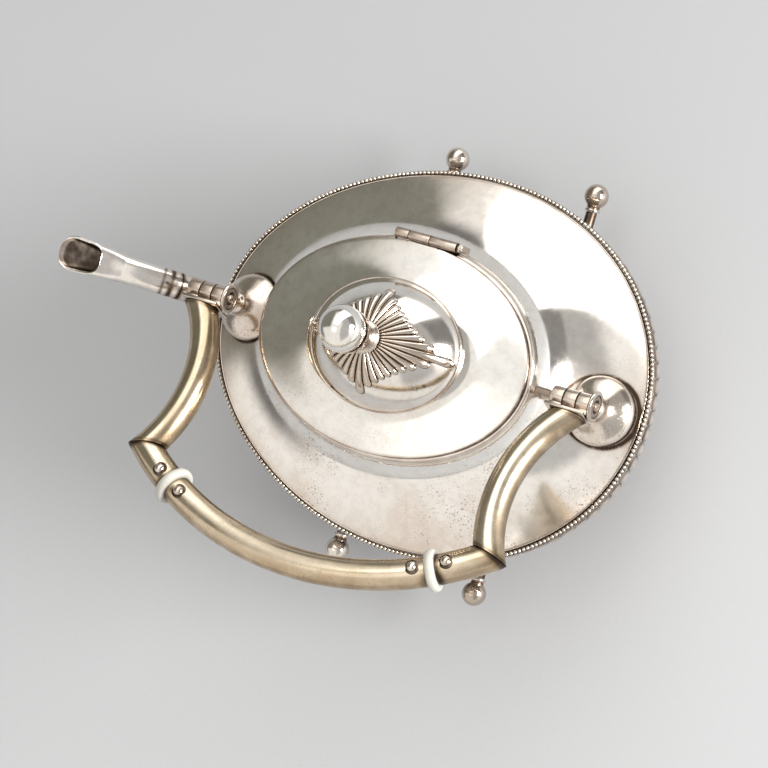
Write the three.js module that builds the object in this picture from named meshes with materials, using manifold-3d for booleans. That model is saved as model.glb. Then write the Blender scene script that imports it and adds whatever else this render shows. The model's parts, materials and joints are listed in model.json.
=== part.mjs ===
// Oval swing-handled silver teapot (a table kettle without its stand).
// Millimetres, +Z up. The origin is the middle of the flat base.
// The spout points to -X, the lid hinge is on +Y and the handle lies folded down towards -Y.

import * as THREE from 'three';
import { mergeVertices } from 'three/addons/utils/BufferGeometryUtils.js';
import Module from 'manifold-3d';

const wasm = await Module();
wasm.setup();

// ---------------------------------------------------------------- driving dimensions

const GAP = 0.3;                 // air kept between neighbouring pieces
const WALL = 1.2;                // sheet thickness of the body and the lid

const RIM_Z = 58;                // height of the beaded rim, the widest section
const RIM_A = 100;               // half-length of the rim over the beads
const RIM_B = 80;                // half-width of the rim over the beads
const RIM_EGG = 0.077;           // how much blunter the back end is than the spout end
const BEAD_R = 1.15;             // radius of the beads
const BOWL_DEPTH = 62;           // semi-axis of the bowl's elliptic section
const BASE_A = 40;               // half-length of the base plate
const BASE_T = 2;                // thickness of the base plate

const LID_X = -1.3;              // the lid's centre lies slightly towards the spout
const LID_A = 60.5;              // half-length of the lid
const LID_B = 43.7;              // half-width of the lid
const LID_TOP_Z = 93.6;          // top of the lid's edge
const LID_EDGE_T = 1.6;          // thickness of the lid's edge
const NECK_R = 59.9;             // half-length of the neck that the lid closes
const NECK_TOP_Z = 91.4;
const BEZEL_R = 58.1;            // flange under the lid, inside the neck
const BEZEL_DEPTH = 4;

const DOME_A = 33.2;             // half-length of the oval dome on the lid
const DOME_B = 27;
const DOME_Z = 99;               // foot of the dome
const DOME_H = 20;
const CALYX_X_REACH = 31.5;      // the calyx's long points, towards the spout and the back
const CALYX_Y_REACH = 26.2;      // its short points, before the dome's width is applied
const CALYX_SIDE_POWER = 0.92;   // 1 gives straight sides between the points, less gives hollow ones
const CALYX_T = 1.2;
const CALYX_BORE = 6;
const CALYX_LIFT = 0.6;          // keeps its facets clear of the dome's
const BALL_R = 9.5;              // finial ball
const BALL_Z = 142.2;
const STUD_R = 1.5;              // screw under the finial ball
const STUD_HOLE_R = 2.3;         // in the dome, before the dome's width is applied
const STUD_END_Z = 111;

const AXIS_Z = 100.8;            // pivot axis of the swing handle
const PIVOT_X = 83.7;            // middle of each hinge barrel
const BARREL_R = 4.3;
const KNUCKLE_L = 5.4;
const BOLT_R = 1.65;
const BOLT_BORE = 2;
const BOLT_HEAD_R = 6.45;
const BOLT_HEAD_T = 1.6;
const BOSS_X = 82;               // the round bosses on the shoulder that carry the posts
const BOSS_Z = 65.2;
const BOSS_R = 14.4;
const BOSS_TILT = 0.15;          // each boss leans outwards with the shoulder
const STEM_R = 3.3;

const HANDLE_REST = 0.316;       // angle of the folded handle above the horizontal
const TUBE_R = 6.15;
const TUBE_WALL = 1;
const GRIP_REACH = 97.9;         // pivot axis to the middle of the grip
const GRIP_BEND = 128;           // radius of the grip's bow
const CORNER_X = 78.4;           // where arm and grip meet, mitred
const RING_X = 59.4;             // insulating rings
const RING_R = 8.55;
const RING_T = 3.8;
const SPIGOT_R = 4.4;
const SPIGOT_L = 9;
const PIN_OFFSET = 6.8;          // from the middle of a ring to the pin heads beside it
const PIN_HEAD_R = 2.1;
const PIN_SHANK_R = 0.9;
const END_PLATE_S = 5.2;         // distance of the arm's end plate from the pivot axis
const END_PLATE_T = 1.4;

const LUG_X = [-30.2, 35.8];     // the four ball-ended supports under the rim
const LUG_Z = 23;
const LUG_BALL_Y = 86.7;
const LUG_BALL_R = 5.1;
const LUG_ROD_R = 2.35;
const LUG_ROD_END_Y = 79.7;

const HINGE_Y = 45.6;            // lid hinge
const HINGE_Z = 93.2;
const HINGE_R = 2.1;
const HINGE_X = -0.3;
const HINGE_L = 27.8;
const HINGE_JOINTS = [6.1, 15.8]; // where the three knuckles meet, from the spout's end
const HINGE_PIN_R = 0.7;
const HINGE_PIN_HEAD_R = 1.7;
const HINGE_PIN_HEAD_T = 2.2;
const HINGE_BORE = 0.95;

// Middle line of the spout, as [x, z].
const SPOUT_PATH = [
  [-78, 27], [-90, 31], [-102, 41], [-111, 54],
  [-119.5, 65], [-131, 73], [-145, 80], [-166, 92],
];
const SPOUT_R = 5.7;             // outer radius from the knee to the mouth
const SPOUT_ROOT_R = 9.5;
const SPOUT_MOUTH_Z = 86.4;      // the mouth is cut level at this height
const SPOUT_WALL = 1.3;
const SPOUT_SEAM = 0.56;         // share of the path at which the two halves meet
const STRAINER_Z = 30;
const STRAINER_HOLE_R = 1.1;

const RING_SEGMENTS = 36;        // facets around the large ovals
const BOWL_STEPS = 7;            // facets down the bowl's side
const COVE_STEPS = 7;            // facets up the shoulder
const DOME_SEGMENTS = 26;        // facets around the dome
const TUBE_SIDES = 12;           // facets around the handle's tubes

// ---------------------------------------------------------------- materials

const silver = () => new THREE.MeshStandardMaterial({ color: 0xb9b4a8, roughness: 0.22, metalness: 1 });
const handleSilver = () => new THREE.MeshStandardMaterial({ color: 0xa89c7c, roughness: 0.3, metalness: 1 });
const ivory = () => new THREE.MeshStandardMaterial({ color: 0xe4e2da, roughness: 0.4, metalness: 0 });

// ---------------------------------------------------------------- solids

function solid(geometry) {
  const bare = geometry.clone();
  bare.deleteAttribute('normal');
  bare.deleteAttribute('uv');
  const merged = mergeVertices(bare, 1e-4);
  const vertProperties = new Float32Array(merged.attributes.position.array);
  const triVerts = new Uint32Array(merged.index.array);
  return new wasm.Manifold(new wasm.Mesh({ numProp: 3, vertProperties, triVerts }));
}

function geometryOf(manifold) {
  const mesh = manifold.getMesh();
  const geometry = new THREE.BufferGeometry();
  geometry.setAttribute('position', new THREE.BufferAttribute(new Float32Array(mesh.vertProperties), 3));
  geometry.setIndex(new THREE.BufferAttribute(new Uint32Array(mesh.triVerts), 1));
  geometry.computeVertexNormals();
  return geometry;
}

// Moves every vertex of a geometry by a function of its place.
function warp(geometry, move) {
  const position = geometry.attributes.position;
  const p = new THREE.Vector3();
  for (let i = 0; i < position.count; i += 1) {
    p.fromBufferAttribute(position, i);
    move(p);
    position.setXYZ(i, p.x, p.y, p.z);
  }
  return geometry;
}

// A body of revolution about Z from [radius, height] pairs.
function revolve(profile, segments) {
  const points = profile.map(([r, z]) => new THREE.Vector2(r, z));
  return new THREE.LatheGeometry(points, segments).rotateX(Math.PI / 2);
}

function box(x0, x1, y0, y1, z0, z1) {
  const geometry = new THREE.BoxGeometry(x1 - x0, y1 - y0, z1 - z0);
  return geometry.translate((x0 + x1) / 2, (y0 + y1) / 2, (z0 + z1) / 2);
}

// A cylinder along X, Y or Z between two stations of that axis.
function rod(axis, radius, from, to, segments) {
  const geometry = new THREE.CylinderGeometry(radius, radius, to - from, segments);
  geometry.translate(0, (from + to) / 2, 0);
  if (axis === 'x') geometry.rotateZ(-Math.PI / 2);
  if (axis === 'z') geometry.rotateX(Math.PI / 2);
  return geometry;
}

// The body's plan is a family of ovals. Within the lid's outline they are plain ellipses about the
// lid's centre; from there to the rim they widen, centre on the body and grow blunter at the back.
function ovalise(p) {
  const r = Math.hypot(p.x, p.y);
  if (r < 1e-6) {
    p.x = LID_X;
    return;
  }
  const c = p.x / r;
  const s = p.y / r;
  const outward = Math.max(0, (r - LID_A) / (RIM_A - LID_A));
  const halfWidth = Math.min(r, LID_A) * (LID_B / LID_A) + outward * (RIM_B - LID_B);
  p.x = LID_X * (1 - Math.min(outward, 1)) + r * c;
  p.y = halfWidth * s * (1 + RIM_EGG * Math.min(outward, 1) * c);
}

const bodyOval = (profile, segments = RING_SEGMENTS) => warp(revolve(profile, segments), ovalise);

// The dome's own ovals: ellipses about the lid's centre.
const domeOval = (geometry) => geometry.scale(1, DOME_B / DOME_A, 1).translate(LID_X, 0, 0);

function bezier(points, count) {
  const [a, b, c, d] = points.map(([r, z]) => new THREE.Vector2(r, z));
  return new THREE.CubicBezierCurve(a, b, c, d).getPoints(count).map((v) => [v.x, v.y]);
}

// ---------------------------------------------------------------- body

function bowlProfile(offset, floorZ, steps) {
  const radius = RIM_A - 1.4 + offset;
  const depth = BOWL_DEPTH + offset;
  const topZ = RIM_Z - BEAD_R;
  const last = Math.asin((topZ - floorZ) / depth);
  const points = [];
  for (let i = 0; i <= steps; i += 1) {
    const angle = (last * i) / steps;
    points.push([radius * Math.cos(angle), topZ - depth * Math.sin(angle)]);
  }
  return points;
}

function bowlEnvelope(offset) {
  const side = bowlProfile(offset, BASE_T + GAP - offset, BOWL_STEPS).reverse();
  const [[, floorZ]] = side;
  return solid(bodyOval([[0, floorZ], ...side, [0, RIM_Z - BEAD_R]]));
}

// Strainer holes through the wall behind the spout: a middle row of three between two rows of four.
function strainerHoles() {
  const rows = [
    { z: STRAINER_Z - 3.6, count: 4, pitch: 3.4 },
    { z: STRAINER_Z, count: 3, pitch: 4 },
    { z: STRAINER_Z + 3.6, count: 4, pitch: 3.4 },
  ];
  return rows.flatMap(({ z, count, pitch }) => Array.from({ length: count }, (_, i) => {
    const y = (i - (count - 1) / 2) * pitch;
    return solid(rod('x', STRAINER_HOLE_R, -100, -70, 6).translate(0, y, z));
  }));
}

function lowerBowl() {
  const floorZ = BASE_T + GAP;
  const outer = bowlProfile(0, floorZ, BOWL_STEPS).reverse();
  const inner = bowlProfile(-WALL, floorZ + WALL, BOWL_STEPS - 1);
  let shell = solid(bodyOval([[0, floorZ], ...outer, ...inner, [0, floorZ + WALL]]));
  for (const hole of strainerHoles()) shell = shell.subtract(hole);
  return geometryOf(shell);
}

const SHOULDER_EDGE = RIM_A - 2.55;
const COVE = [[SHOULDER_EDGE, RIM_Z + 0.4], [84, 61.5], [62, 70], [NECK_R, 88.5]];

function shoulder() {
  const outer = bezier(COVE, COVE_STEPS);
  const inner = bezier(COVE.map(([r, z]) => [r - WALL, z - WALL / 2]), COVE_STEPS - 1).reverse();
  const edge = [SHOULDER_EDGE, RIM_Z - BEAD_R + GAP];
  const innerEdge = [SHOULDER_EDGE - WALL, RIM_Z - BEAD_R + GAP];
  const neck = [[NECK_R, NECK_TOP_Z], [NECK_R - WALL, NECK_TOP_Z]];
  return bodyOval([edge, ...outer, ...neck, ...inner, innerEdge, edge]);
}

// Everything inside the shoulder's outer face, grown by an offset.
function shoulderEnvelope(offset) {
  const outer = bezier(COVE.map(([r, z]) => [r + offset, z + offset]), COVE_STEPS);
  return solid(bodyOval([[0, RIM_Z - 6], [SHOULDER_EDGE + offset, RIM_Z - 6], ...outer, [0, 88.5 + offset]]));
}

function beadRim() {
  const ring = [];
  const sides = 5;
  for (let i = 0; i <= sides; i += 1) {
    const angle = (-2 * Math.PI * i) / sides;
    ring.push([RIM_A - BEAD_R + BEAD_R * Math.cos(angle), RIM_Z + 0.35 - BEAD_R * Math.sin(angle)]);
  }
  return bodyOval(ring);
}

const HINGE_HALF = HINGE_L / 2;

// The straight strip taken out of the lid's edge to make room for the hinge.
function hingeSlot() {
  const reach = HINGE_HALF + GAP;
  return solid(box(HINGE_X - reach, HINGE_X + reach, HINGE_Y - HINGE_R - GAP, 60, 80, 99));
}

function neckCollar() {
  const profile = [[NECK_R + GAP, 89.3], [61.4, 89], [62.2, 90.2], [61.6, 91.4], [NECK_R + GAP, 91.7],
    [NECK_R + GAP, 89.3]];
  const seatRoom = box(HINGE_X - HINGE_HALF - GAP, HINGE_X + HINGE_HALF + GAP, 43.9, 60, 80, 99);
  return geometryOf(solid(bodyOval(profile)).subtract(solid(seatRoom)).subtract(shoulderEnvelope(GAP / 2)));
}

function basePlate() {
  return bodyOval([[0, 0], [BASE_A - 0.8, 0], [BASE_A, 0.8], [BASE_A, BASE_T], [0, BASE_T]], 32);
}

// ---------------------------------------------------------------- spout

// Bends a Y-aligned unit cylinder along a curve in the XZ plane, with a radius that may vary.
function bendAlong(curve, radiusAt, segments, steps, from, to) {
  const geometry = new THREE.CylinderGeometry(1, 1, 1, segments, steps);
  return warp(geometry, (p) => {
    const t = from + (p.y + 0.5) * (to - from);
    const centre = curve.getPoint(t);
    const along = curve.getTangent(t);
    const radius = radiusAt(t);
    const acrossY = p.z * radius;
    const inPlane = p.x * radius;
    p.set(centre.x - along.z * inPlane, centre.y + acrossY, centre.z + along.x * inPlane);
  });
}

function spoutTube() {
  const curve = new THREE.CatmullRomCurve3(SPOUT_PATH.map(([x, z]) => new THREE.Vector3(x, 0, z)));
  const radiusAt = (wall) => (t) => {
    const taper = Math.max(0, 1 - t / 0.5);
    return SPOUT_R + (SPOUT_ROOT_R - SPOUT_R) * taper * taper - wall;
  };
  const outer = solid(bendAlong(curve, radiusAt(0), 12, 14, 0.02, 0.99));
  const bore = solid(bendAlong(curve, radiusAt(SPOUT_WALL), 12, 14, 0, 1));
  const aboveMouth = solid(box(-200, -130, -20, 20, SPOUT_MOUTH_Z, 120));
  const tube = outer.subtract(bore).subtract(aboveMouth).subtract(bowlEnvelope(GAP));
  const seam = curve.getPoint(SPOUT_SEAM);
  const along = curve.getTangent(SPOUT_SEAM);
  const tilt = Math.atan2(along.z, -along.x);
  // Each half-space reaches half a gap past the seam.
  const outerSide = box(-80, GAP / 2, -30, 30, -60, 60).rotateY(tilt).translate(seam.x, 0, seam.z);
  const rootSide = box(-GAP / 2, 80, -30, 30, -60, 60).rotateY(tilt).translate(seam.x, 0, seam.z);
  return { lower: tube.subtract(solid(outerSide)), upper: tube.subtract(solid(rootSide)) };
}

// ---------------------------------------------------------------- bosses, posts and supports

function boss(side) {
  const foot = [[0, -9], [BOSS_R, -9], [BOSS_R, 0.6]];
  const dome = [...foot, [13.1, 3.1], [10.4, 5.2], [7, 6.9], [4.6, 8.6], [3.5, 11], [0, 11]];
  const geometry = revolve(dome, 16).rotateY(side * BOSS_TILT).translate(side * BOSS_X, 0, BOSS_Z);
  return geometryOf(solid(geometry).subtract(shoulderEnvelope(GAP)));
}

// The upright post: a stem on the boss, a shoulder that stops the handle, and the eye for the bolt.
function post(side) {
  const x = side * PIVOT_X;
  const half = KNUCKLE_L / 2;
  const footZ = BOSS_Z + 11.6;
  const stem = solid(revolve([[0, footZ], [3.6, footZ], [STEM_R, footZ + 3], [STEM_R, AXIS_Z - 6.2],
    [0, AXIS_Z - 6.2]], 12).translate(x, 0, 0));
  const stop = solid(box(x - half, x + half, -9.5, 4, AXIS_Z - 7.6, AXIS_Z - 5));
  const neck = solid(box(x - half, x + half, -2.6, 2.6, AXIS_Z - 7, AXIS_Z - 2.5));
  const eye = solid(rod('x', BARREL_R, x - half, x + half, 16).translate(0, 0, AXIS_Z));
  const bore = solid(rod('x', BOLT_BORE, x - 9, x + 9, 12).translate(0, 0, AXIS_Z));
  return geometryOf(stem.add(stop).add(neck).add(eye).subtract(bore));
}

// Bolt with a broad disc head on its +X end; the back bolt's threaded end stands out further.
function pivotBolt(side) {
  const x = side * PIVOT_X;
  const barrelHalf = KNUCKLE_L * 1.5 + GAP;
  const headX = x + barrelHalf + GAP;
  const tailX = x - barrelHalf - (side > 0 ? 8 : 1.4);
  const head = solid(rod('x', BOLT_HEAD_R, headX, headX + BOLT_HEAD_T, 18));
  const shank = solid(rod('x', BOLT_R, tailX, headX + 0.5, 12));
  return geometryOf(head.add(shank).translate([0, 0, AXIS_Z]));
}

function lugRod(x, side) {
  const cylinder = rod('y', LUG_ROD_R, 40, LUG_ROD_END_Y, 10);
  if (side < 0) cylinder.rotateZ(Math.PI);
  cylinder.translate(x, 0, LUG_Z);
  return geometryOf(solid(cylinder).subtract(bowlEnvelope(GAP)));
}

// Ball with the short cone that joins it to its rod.
function lugBall(x, side) {
  const start = LUG_ROD_END_Y + GAP;
  const profile = [[0, start], [LUG_ROD_R + 0.6, start], [LUG_ROD_R + 0.3, start + 1.4]];
  const steps = 6;
  for (let i = 1; i <= steps; i += 1) {
    const angle = 0.62 + ((Math.PI - 0.62) * i) / steps;
    profile.push([LUG_BALL_R * Math.sin(angle), LUG_BALL_Y - LUG_BALL_R * Math.cos(angle)]);
  }
  profile[profile.length - 1][0] = 0;
  const points = profile.map(([r, y]) => new THREE.Vector2(r, y));
  const ball = new THREE.LatheGeometry(points, 10);
  if (side < 0) ball.rotateZ(Math.PI);
  return ball.translate(x, 0, LUG_Z);
}

// ---------------------------------------------------------------- lid

const LID_PLATE = [[LID_A - 0.7, LID_TOP_Z], [48, 95], [36.8, 94.6], [DOME_A + 0.4, DOME_Z]];

function lidPlate() {
  const outer = bezier(LID_PLATE, 5);
  const inner = bezier(LID_PLATE.map(([r, z]) => [r - 0.6, z - WALL]), 4).reverse();
  const edgeZ = LID_TOP_Z - LID_EDGE_T;
  const seat = [[DOME_A - 6, DOME_Z], [DOME_A - 6, DOME_Z - WALL]];
  const edge = [[LID_A - 0.7, edgeZ], [LID_A, edgeZ + 0.8]];
  const plate = solid(bodyOval([...edge, ...outer, ...seat, ...inner, edge[0]]));
  return geometryOf(plate.subtract(hingeSlot()));
}

function lidBezel() {
  const top = LID_TOP_Z - LID_EDGE_T - GAP - 0.1;
  const inner = BEZEL_R - 1.1;
  return bodyOval([[BEZEL_R, top - BEZEL_DEPTH], [BEZEL_R, top], [inner, top], [inner, top - BEZEL_DEPTH],
    [BEZEL_R, top - BEZEL_DEPTH]]);
}

const domeHeight = (r) => DOME_H * (1 - Math.min(1, r / DOME_A) ** 2) ** 0.8;

function domeOutside(offset) {
  const steps = 6;
  const profile = [];
  for (let i = 0; i <= steps; i += 1) {
    const r = STUD_HOLE_R + (DOME_A - STUD_HOLE_R) * Math.cos((Math.PI / 2) * (i / steps));
    profile.push([r, DOME_Z + GAP + domeHeight(r) + offset]);
  }
  return profile;
}

function lidDome() {
  const foot = DOME_Z + GAP;
  const outside = domeOutside(0);
  const inside = outside.slice(1).reverse().map(([r, z]) => [Math.max(r - 1, STUD_HOLE_R), z - WALL]);
  const heel = [DOME_A - 1.4, foot];
  return domeOval(revolve([...outside, ...inside, heel, outside[0]], DOME_SEGMENTS));
}

// The space the dome takes up, which the calyx keeps clear of.
function domeEnvelope() {
  const outside = domeOutside(GAP);
  const top = outside[outside.length - 1][1];
  return domeOval(revolve([[0, DOME_Z], [DOME_A, DOME_Z], ...outside, [0, top]], DOME_SEGMENTS));
}

function calyxReach(angle) {
  const c = Math.abs(Math.cos(angle)) / CALYX_X_REACH;
  const s = Math.abs(Math.sin(angle)) / CALYX_Y_REACH;
  return (c ** CALYX_SIDE_POWER + s ** CALYX_SIDE_POWER) ** (-1 / CALYX_SIDE_POWER);
}

// Four-pointed reeded calyx that drapes over the dome. The profile's radius runs from 1 at the bore
// to 2 at the tip of each rib, and its height is 0 under the sheet and 1 on top of it.
function calyx() {
  const under = [[1, 0], [1.35, 0], [1.7, 0], [2, 0]];
  const top = [[2, 1], [1.7, 1], [1.35, 1], [1, 1]];
  const geometry = revolve([...under, ...top, under[0]], 28);
  warp(geometry, (p) => {
    const share = Math.hypot(p.x, p.y) - 1;
    const angle = Math.atan2(p.y, p.x);
    const r = CALYX_BORE + (calyxReach(angle) - CALYX_BORE) * share;
    const lift = DOME_Z + GAP + domeHeight(r) + GAP + CALYX_LIFT;
    p.set(r * Math.cos(angle), r * Math.sin(angle), lift + p.z * CALYX_T);
  });
  return geometryOf(solid(domeOval(geometry)).subtract(solid(domeEnvelope())));
}

function finialCollar() {
  const seatR = BALL_R + GAP;
  const seat = [7.6, 5, STUD_R + GAP].map((r) => [r, BALL_Z - Math.sqrt(seatR ** 2 - r ** 2)]);
  const foot = 121.6;
  const outside = [[STUD_R + GAP, foot], [6.8, foot], [7.3, foot + 1.1], [5.1, foot + 2.6], [4.5, foot + 4.6],
    [5.6, foot + 7.8], [8.2, foot + 12.1], [8.6, foot + 14.6]];
  return revolve([...outside, ...seat, outside[0]], 14).translate(LID_X, 0, 0);
}

function finialBall() {
  const ball = solid(new THREE.SphereGeometry(BALL_R, 16, 10).rotateX(Math.PI / 2).translate(0, 0, BALL_Z));
  const stud = solid(rod('z', STUD_R, STUD_END_Z, BALL_Z - 4, 10));
  return geometryOf(ball.add(stud).translate([LID_X, 0, 0]));
}

function finialNut() {
  const top = DOME_Z + DOME_H - WALL - 0.6;
  const nut = solid(rod('z', 4.4, top - 3, top, 6));
  const bore = solid(rod('z', STUD_R + GAP, top - 9, top + 9, 10));
  return geometryOf(nut.subtract(bore).translate([LID_X, 0, 0]));
}

// ---------------------------------------------------------------- lid hinge

const HINGE_START = HINGE_X - HINGE_HALF;
const HINGE_END = HINGE_X + HINGE_HALF;
const KNUCKLE_STARTS = [0, ...HINGE_JOINTS.map((joint) => joint + GAP / 2)];
const KNUCKLE_ENDS = [...HINGE_JOINTS.map((joint) => joint - GAP / 2), HINGE_L];

function hingeRod(radius, from, to, sides) {
  return rod('x', radius, from, to, sides).translate(0, HINGE_Y, HINGE_Z);
}

const hingeBore = () => solid(hingeRod(HINGE_BORE, HINGE_START - 5, HINGE_END + 5, 8));

function knuckle(index) {
  return solid(hingeRod(HINGE_R, HINGE_START + KNUCKLE_STARTS[index], HINGE_START + KNUCKLE_ENDS[index], 14));
}

// The seat stands on the neck and carries the two outer knuckles.
function lidHingeSeat() {
  const block = solid(box(HINGE_START, HINGE_END, 44.7, 47.7, 74, HINGE_Z - 0.6));
  const roomStart = HINGE_START + KNUCKLE_STARTS[1] - GAP;
  const roomEnd = HINGE_START + KNUCKLE_ENDS[1] + GAP;
  const room = solid(box(roomStart, roomEnd, 40, 50, HINGE_Z - HINGE_R - GAP, HINGE_Z + HINGE_R + GAP));
  const seat = block.subtract(shoulderEnvelope(GAP)).subtract(room).add(knuckle(0)).add(knuckle(2));
  return geometryOf(seat.subtract(hingeBore()));
}

// The middle knuckle, with a square foot that butts against the lid's edge.
function lidHingeLeaf() {
  const x0 = HINGE_START + KNUCKLE_STARTS[1];
  const x1 = HINGE_START + KNUCKLE_ENDS[1];
  const foot = solid(box(x0, x1, HINGE_Y - HINGE_R, HINGE_Y, LID_TOP_Z - LID_EDGE_T, HINGE_Z));
  return geometryOf(knuckle(1).add(foot).subtract(hingeBore()));
}

// Pin with a small knob on its back end.
function lidHingePin() {
  const headStart = HINGE_END + GAP;
  const shank = solid(hingeRod(HINGE_PIN_R, HINGE_START - 0.4, headStart + 0.5, 8));
  const head = solid(hingeRod(HINGE_PIN_HEAD_R, headStart, headStart + HINGE_PIN_HEAD_T, 10));
  return geometryOf(shank.add(head));
}

// ---------------------------------------------------------------- swing handle
// In its own frame: X along the pivot axis, -Y away from it, Z square to the handle's plane.

// Arc of a circle in the handle's plane; t runs past 0 and 1 without limit.
class PlaneArc extends THREE.Curve {
  constructor(centreX, centreY, radius, startAngle, endAngle) {
    super();
    Object.assign(this, { centreX, centreY, radius, startAngle, endAngle });
  }

  angle(t) {
    return this.startAngle + (this.endAngle - this.startAngle) * t;
  }

  getPoint(t) {
    const a = this.angle(t);
    const x = this.centreX + this.radius * Math.cos(a);
    const y = this.centreY + this.radius * Math.sin(a);
    return new THREE.Vector3(x, y, 0);
  }

  getTangent(t) {
    const a = this.angle(t);
    const turn = Math.sign(this.endAngle - this.startAngle);
    return new THREE.Vector3(-Math.sin(a) * turn, Math.cos(a) * turn, 0);
  }
}

// Bends a unit cylinder along an arc in the handle's plane.
function tubeAlong(arc, radius, segments, steps, from, to) {
  const geometry = new THREE.CylinderGeometry(1, 1, 1, segments, steps);
  return solid(warp(geometry, (p) => {
    const t = from + (p.y + 0.5) * (to - from);
    const centre = arc.getPoint(t);
    const along = arc.getTangent(t);
    const across = p.x * radius;
    p.set(centre.x + along.y * across, centre.y - along.x * across, p.z * radius);
  }));
}

const gripY = (x) => -(GRIP_REACH - GRIP_BEND + Math.sqrt(GRIP_BEND ** 2 - x ** 2));
const gripAngle = (x) => Math.asin(x / GRIP_BEND);
const GRIP_CENTRE_Y = -(GRIP_REACH - GRIP_BEND);
const CORNER_Y = gripY(CORNER_X);
const MITRE_ANGLE = 0.205;        // slope of the mitre plane against the pivot axis

// The arm's arc bulges inwards between the end plate and the corner.
const ARM_TOP = [85.4, -END_PLATE_S];
const ARM_SAG = 10.3;

function armArc(side) {
  const chord = Math.hypot(ARM_TOP[0] - CORNER_X, ARM_TOP[1] - CORNER_Y);
  const radius = (chord * chord) / (8 * ARM_SAG) + ARM_SAG / 2;
  const outX = (ARM_TOP[1] - CORNER_Y) / chord;
  const outY = -(ARM_TOP[0] - CORNER_X) / chord;
  const centreX = (ARM_TOP[0] + CORNER_X) / 2 + outX * (radius - ARM_SAG);
  const centreY = (ARM_TOP[1] + CORNER_Y) / 2 + outY * (radius - ARM_SAG);
  const angleOf = (x, y) => {
    const angle = Math.atan2(y - centreY, x - centreX);
    const positive = angle < 0 ? angle + 2 * Math.PI : angle;
    return side > 0 ? positive : Math.PI - positive;
  };
  return new PlaneArc(side * centreX, centreY, radius, angleOf(...ARM_TOP), angleOf(CORNER_X, CORNER_Y));
}

// A long block on one side of the mitre plane at a corner; above is true for the arm's side.
function mitreBlock(side, above) {
  const y0 = above ? -GAP / 2 : -40;
  const y1 = above ? 40 : GAP / 2;
  const block = box(-60, 60, y0, y1, -20, 20).rotateZ(-side * MITRE_ANGLE);
  return solid(block.translate(side * CORNER_X, CORNER_Y, 0));
}

function hollow(arc, segments, steps, from, to) {
  const outer = tubeAlong(arc, TUBE_R, segments, steps, from, to);
  return outer.subtract(tubeAlong(arc, TUBE_R - TUBE_WALL, segments, steps, from - 0.02, to + 0.02));
}

function handleArm(side) {
  const tube = hollow(armArc(side), TUBE_SIDES, 10, -0.12, 1.3);
  const aboveEndPlate = solid(box(-120, 120, -END_PLATE_S - END_PLATE_T - GAP, 60, -20, 20));
  return geometryOf(tube.subtract(aboveEndPlate).subtract(mitreBlock(side, false)));
}

// The grip's circle runs through both stubs, both rings and the grip itself.
function gripArc(fromX, toX) {
  const start = -Math.PI / 2 + gripAngle(fromX);
  const end = -Math.PI / 2 + gripAngle(toX);
  return new PlaneArc(0, GRIP_CENTRE_Y, GRIP_BEND, start, end);
}

const HALF_RING_X = (RING_T / 2 + GAP) * Math.cos(gripAngle(RING_X));

// Place of a point on the grip's circle, given its distance along the grip from a ring's middle.
function alongGrip(side, offset) {
  const angle = gripAngle(RING_X) + offset / GRIP_BEND;
  const x = side * GRIP_BEND * Math.sin(angle);
  return { x, y: gripY(Math.abs(x)), turn: side * angle };
}

function pinHoles(side, offsets) {
  return offsets.map((offset) => {
    const spot = alongGrip(side, offset);
    return solid(rod('z', PIN_SHANK_R + GAP, -0.5, 20, 8).translate(spot.x, spot.y, 0));
  });
}

function cornerStub(side) {
  const arc = side > 0 ? gripArc(RING_X + HALF_RING_X, 95) : gripArc(-95, -RING_X - HALF_RING_X);
  const outer = tubeAlong(arc, TUBE_R, TUBE_SIDES, 4, 0, 1);
  const bore = tubeAlong(arc, TUBE_R - TUBE_WALL, TUBE_SIDES, 4, -0.05, 1.05);
  let stub = outer.subtract(bore).subtract(mitreBlock(side, true));
  for (const hole of pinHoles(side, [PIN_OFFSET])) stub = stub.subtract(hole);
  return geometryOf(stub);
}

function gripBar() {
  let bar = hollow(gripArc(-RING_X + HALF_RING_X, RING_X - HALF_RING_X), TUBE_SIDES, 13, 0, 1);
  for (const side of [-1, 1]) {
    for (const hole of pinHoles(side, [-PIN_OFFSET])) bar = bar.subtract(hole);
  }
  return geometryOf(bar);
}

// Ivory ring with a spigot into the tube on each side.
function insulator(side) {
  const half = RING_T / 2;
  const ringProfile = [[0, -SPIGOT_L], [SPIGOT_R, -SPIGOT_L], [SPIGOT_R, -half], [RING_R - 1.2, -half],
    [RING_R - 0.25, -half * 0.55], [RING_R, 0], [RING_R - 0.25, half * 0.55], [RING_R - 1.2, half],
    [SPIGOT_R, half], [SPIGOT_R, SPIGOT_L], [0, SPIGOT_L]];
  const points = ringProfile.map(([r, y]) => new THREE.Vector2(r, y));
  const spot = alongGrip(side, 0);
  const ring = new THREE.LatheGeometry(points, 14).rotateZ(-Math.PI / 2 + spot.turn);
  let body = solid(ring.translate(spot.x, spot.y, 0));
  for (const hole of pinHoles(side, [-PIN_OFFSET, PIN_OFFSET])) body = body.subtract(hole);
  return geometryOf(body);
}

function insulatorPin(side, offset) {
  const spot = alongGrip(side, offset);
  const seat = TUBE_R + GAP;
  const shank = [[0, 0.5], [PIN_SHANK_R, 0.5], [PIN_SHANK_R, seat], [PIN_HEAD_R, seat]];
  const head = [[PIN_HEAD_R, seat + 0.5], [PIN_HEAD_R * 0.72, seat + 1.2], [0, seat + 1.6]];
  return revolve([...shank, ...head], 10).translate(spot.x, spot.y, 0);
}

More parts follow.
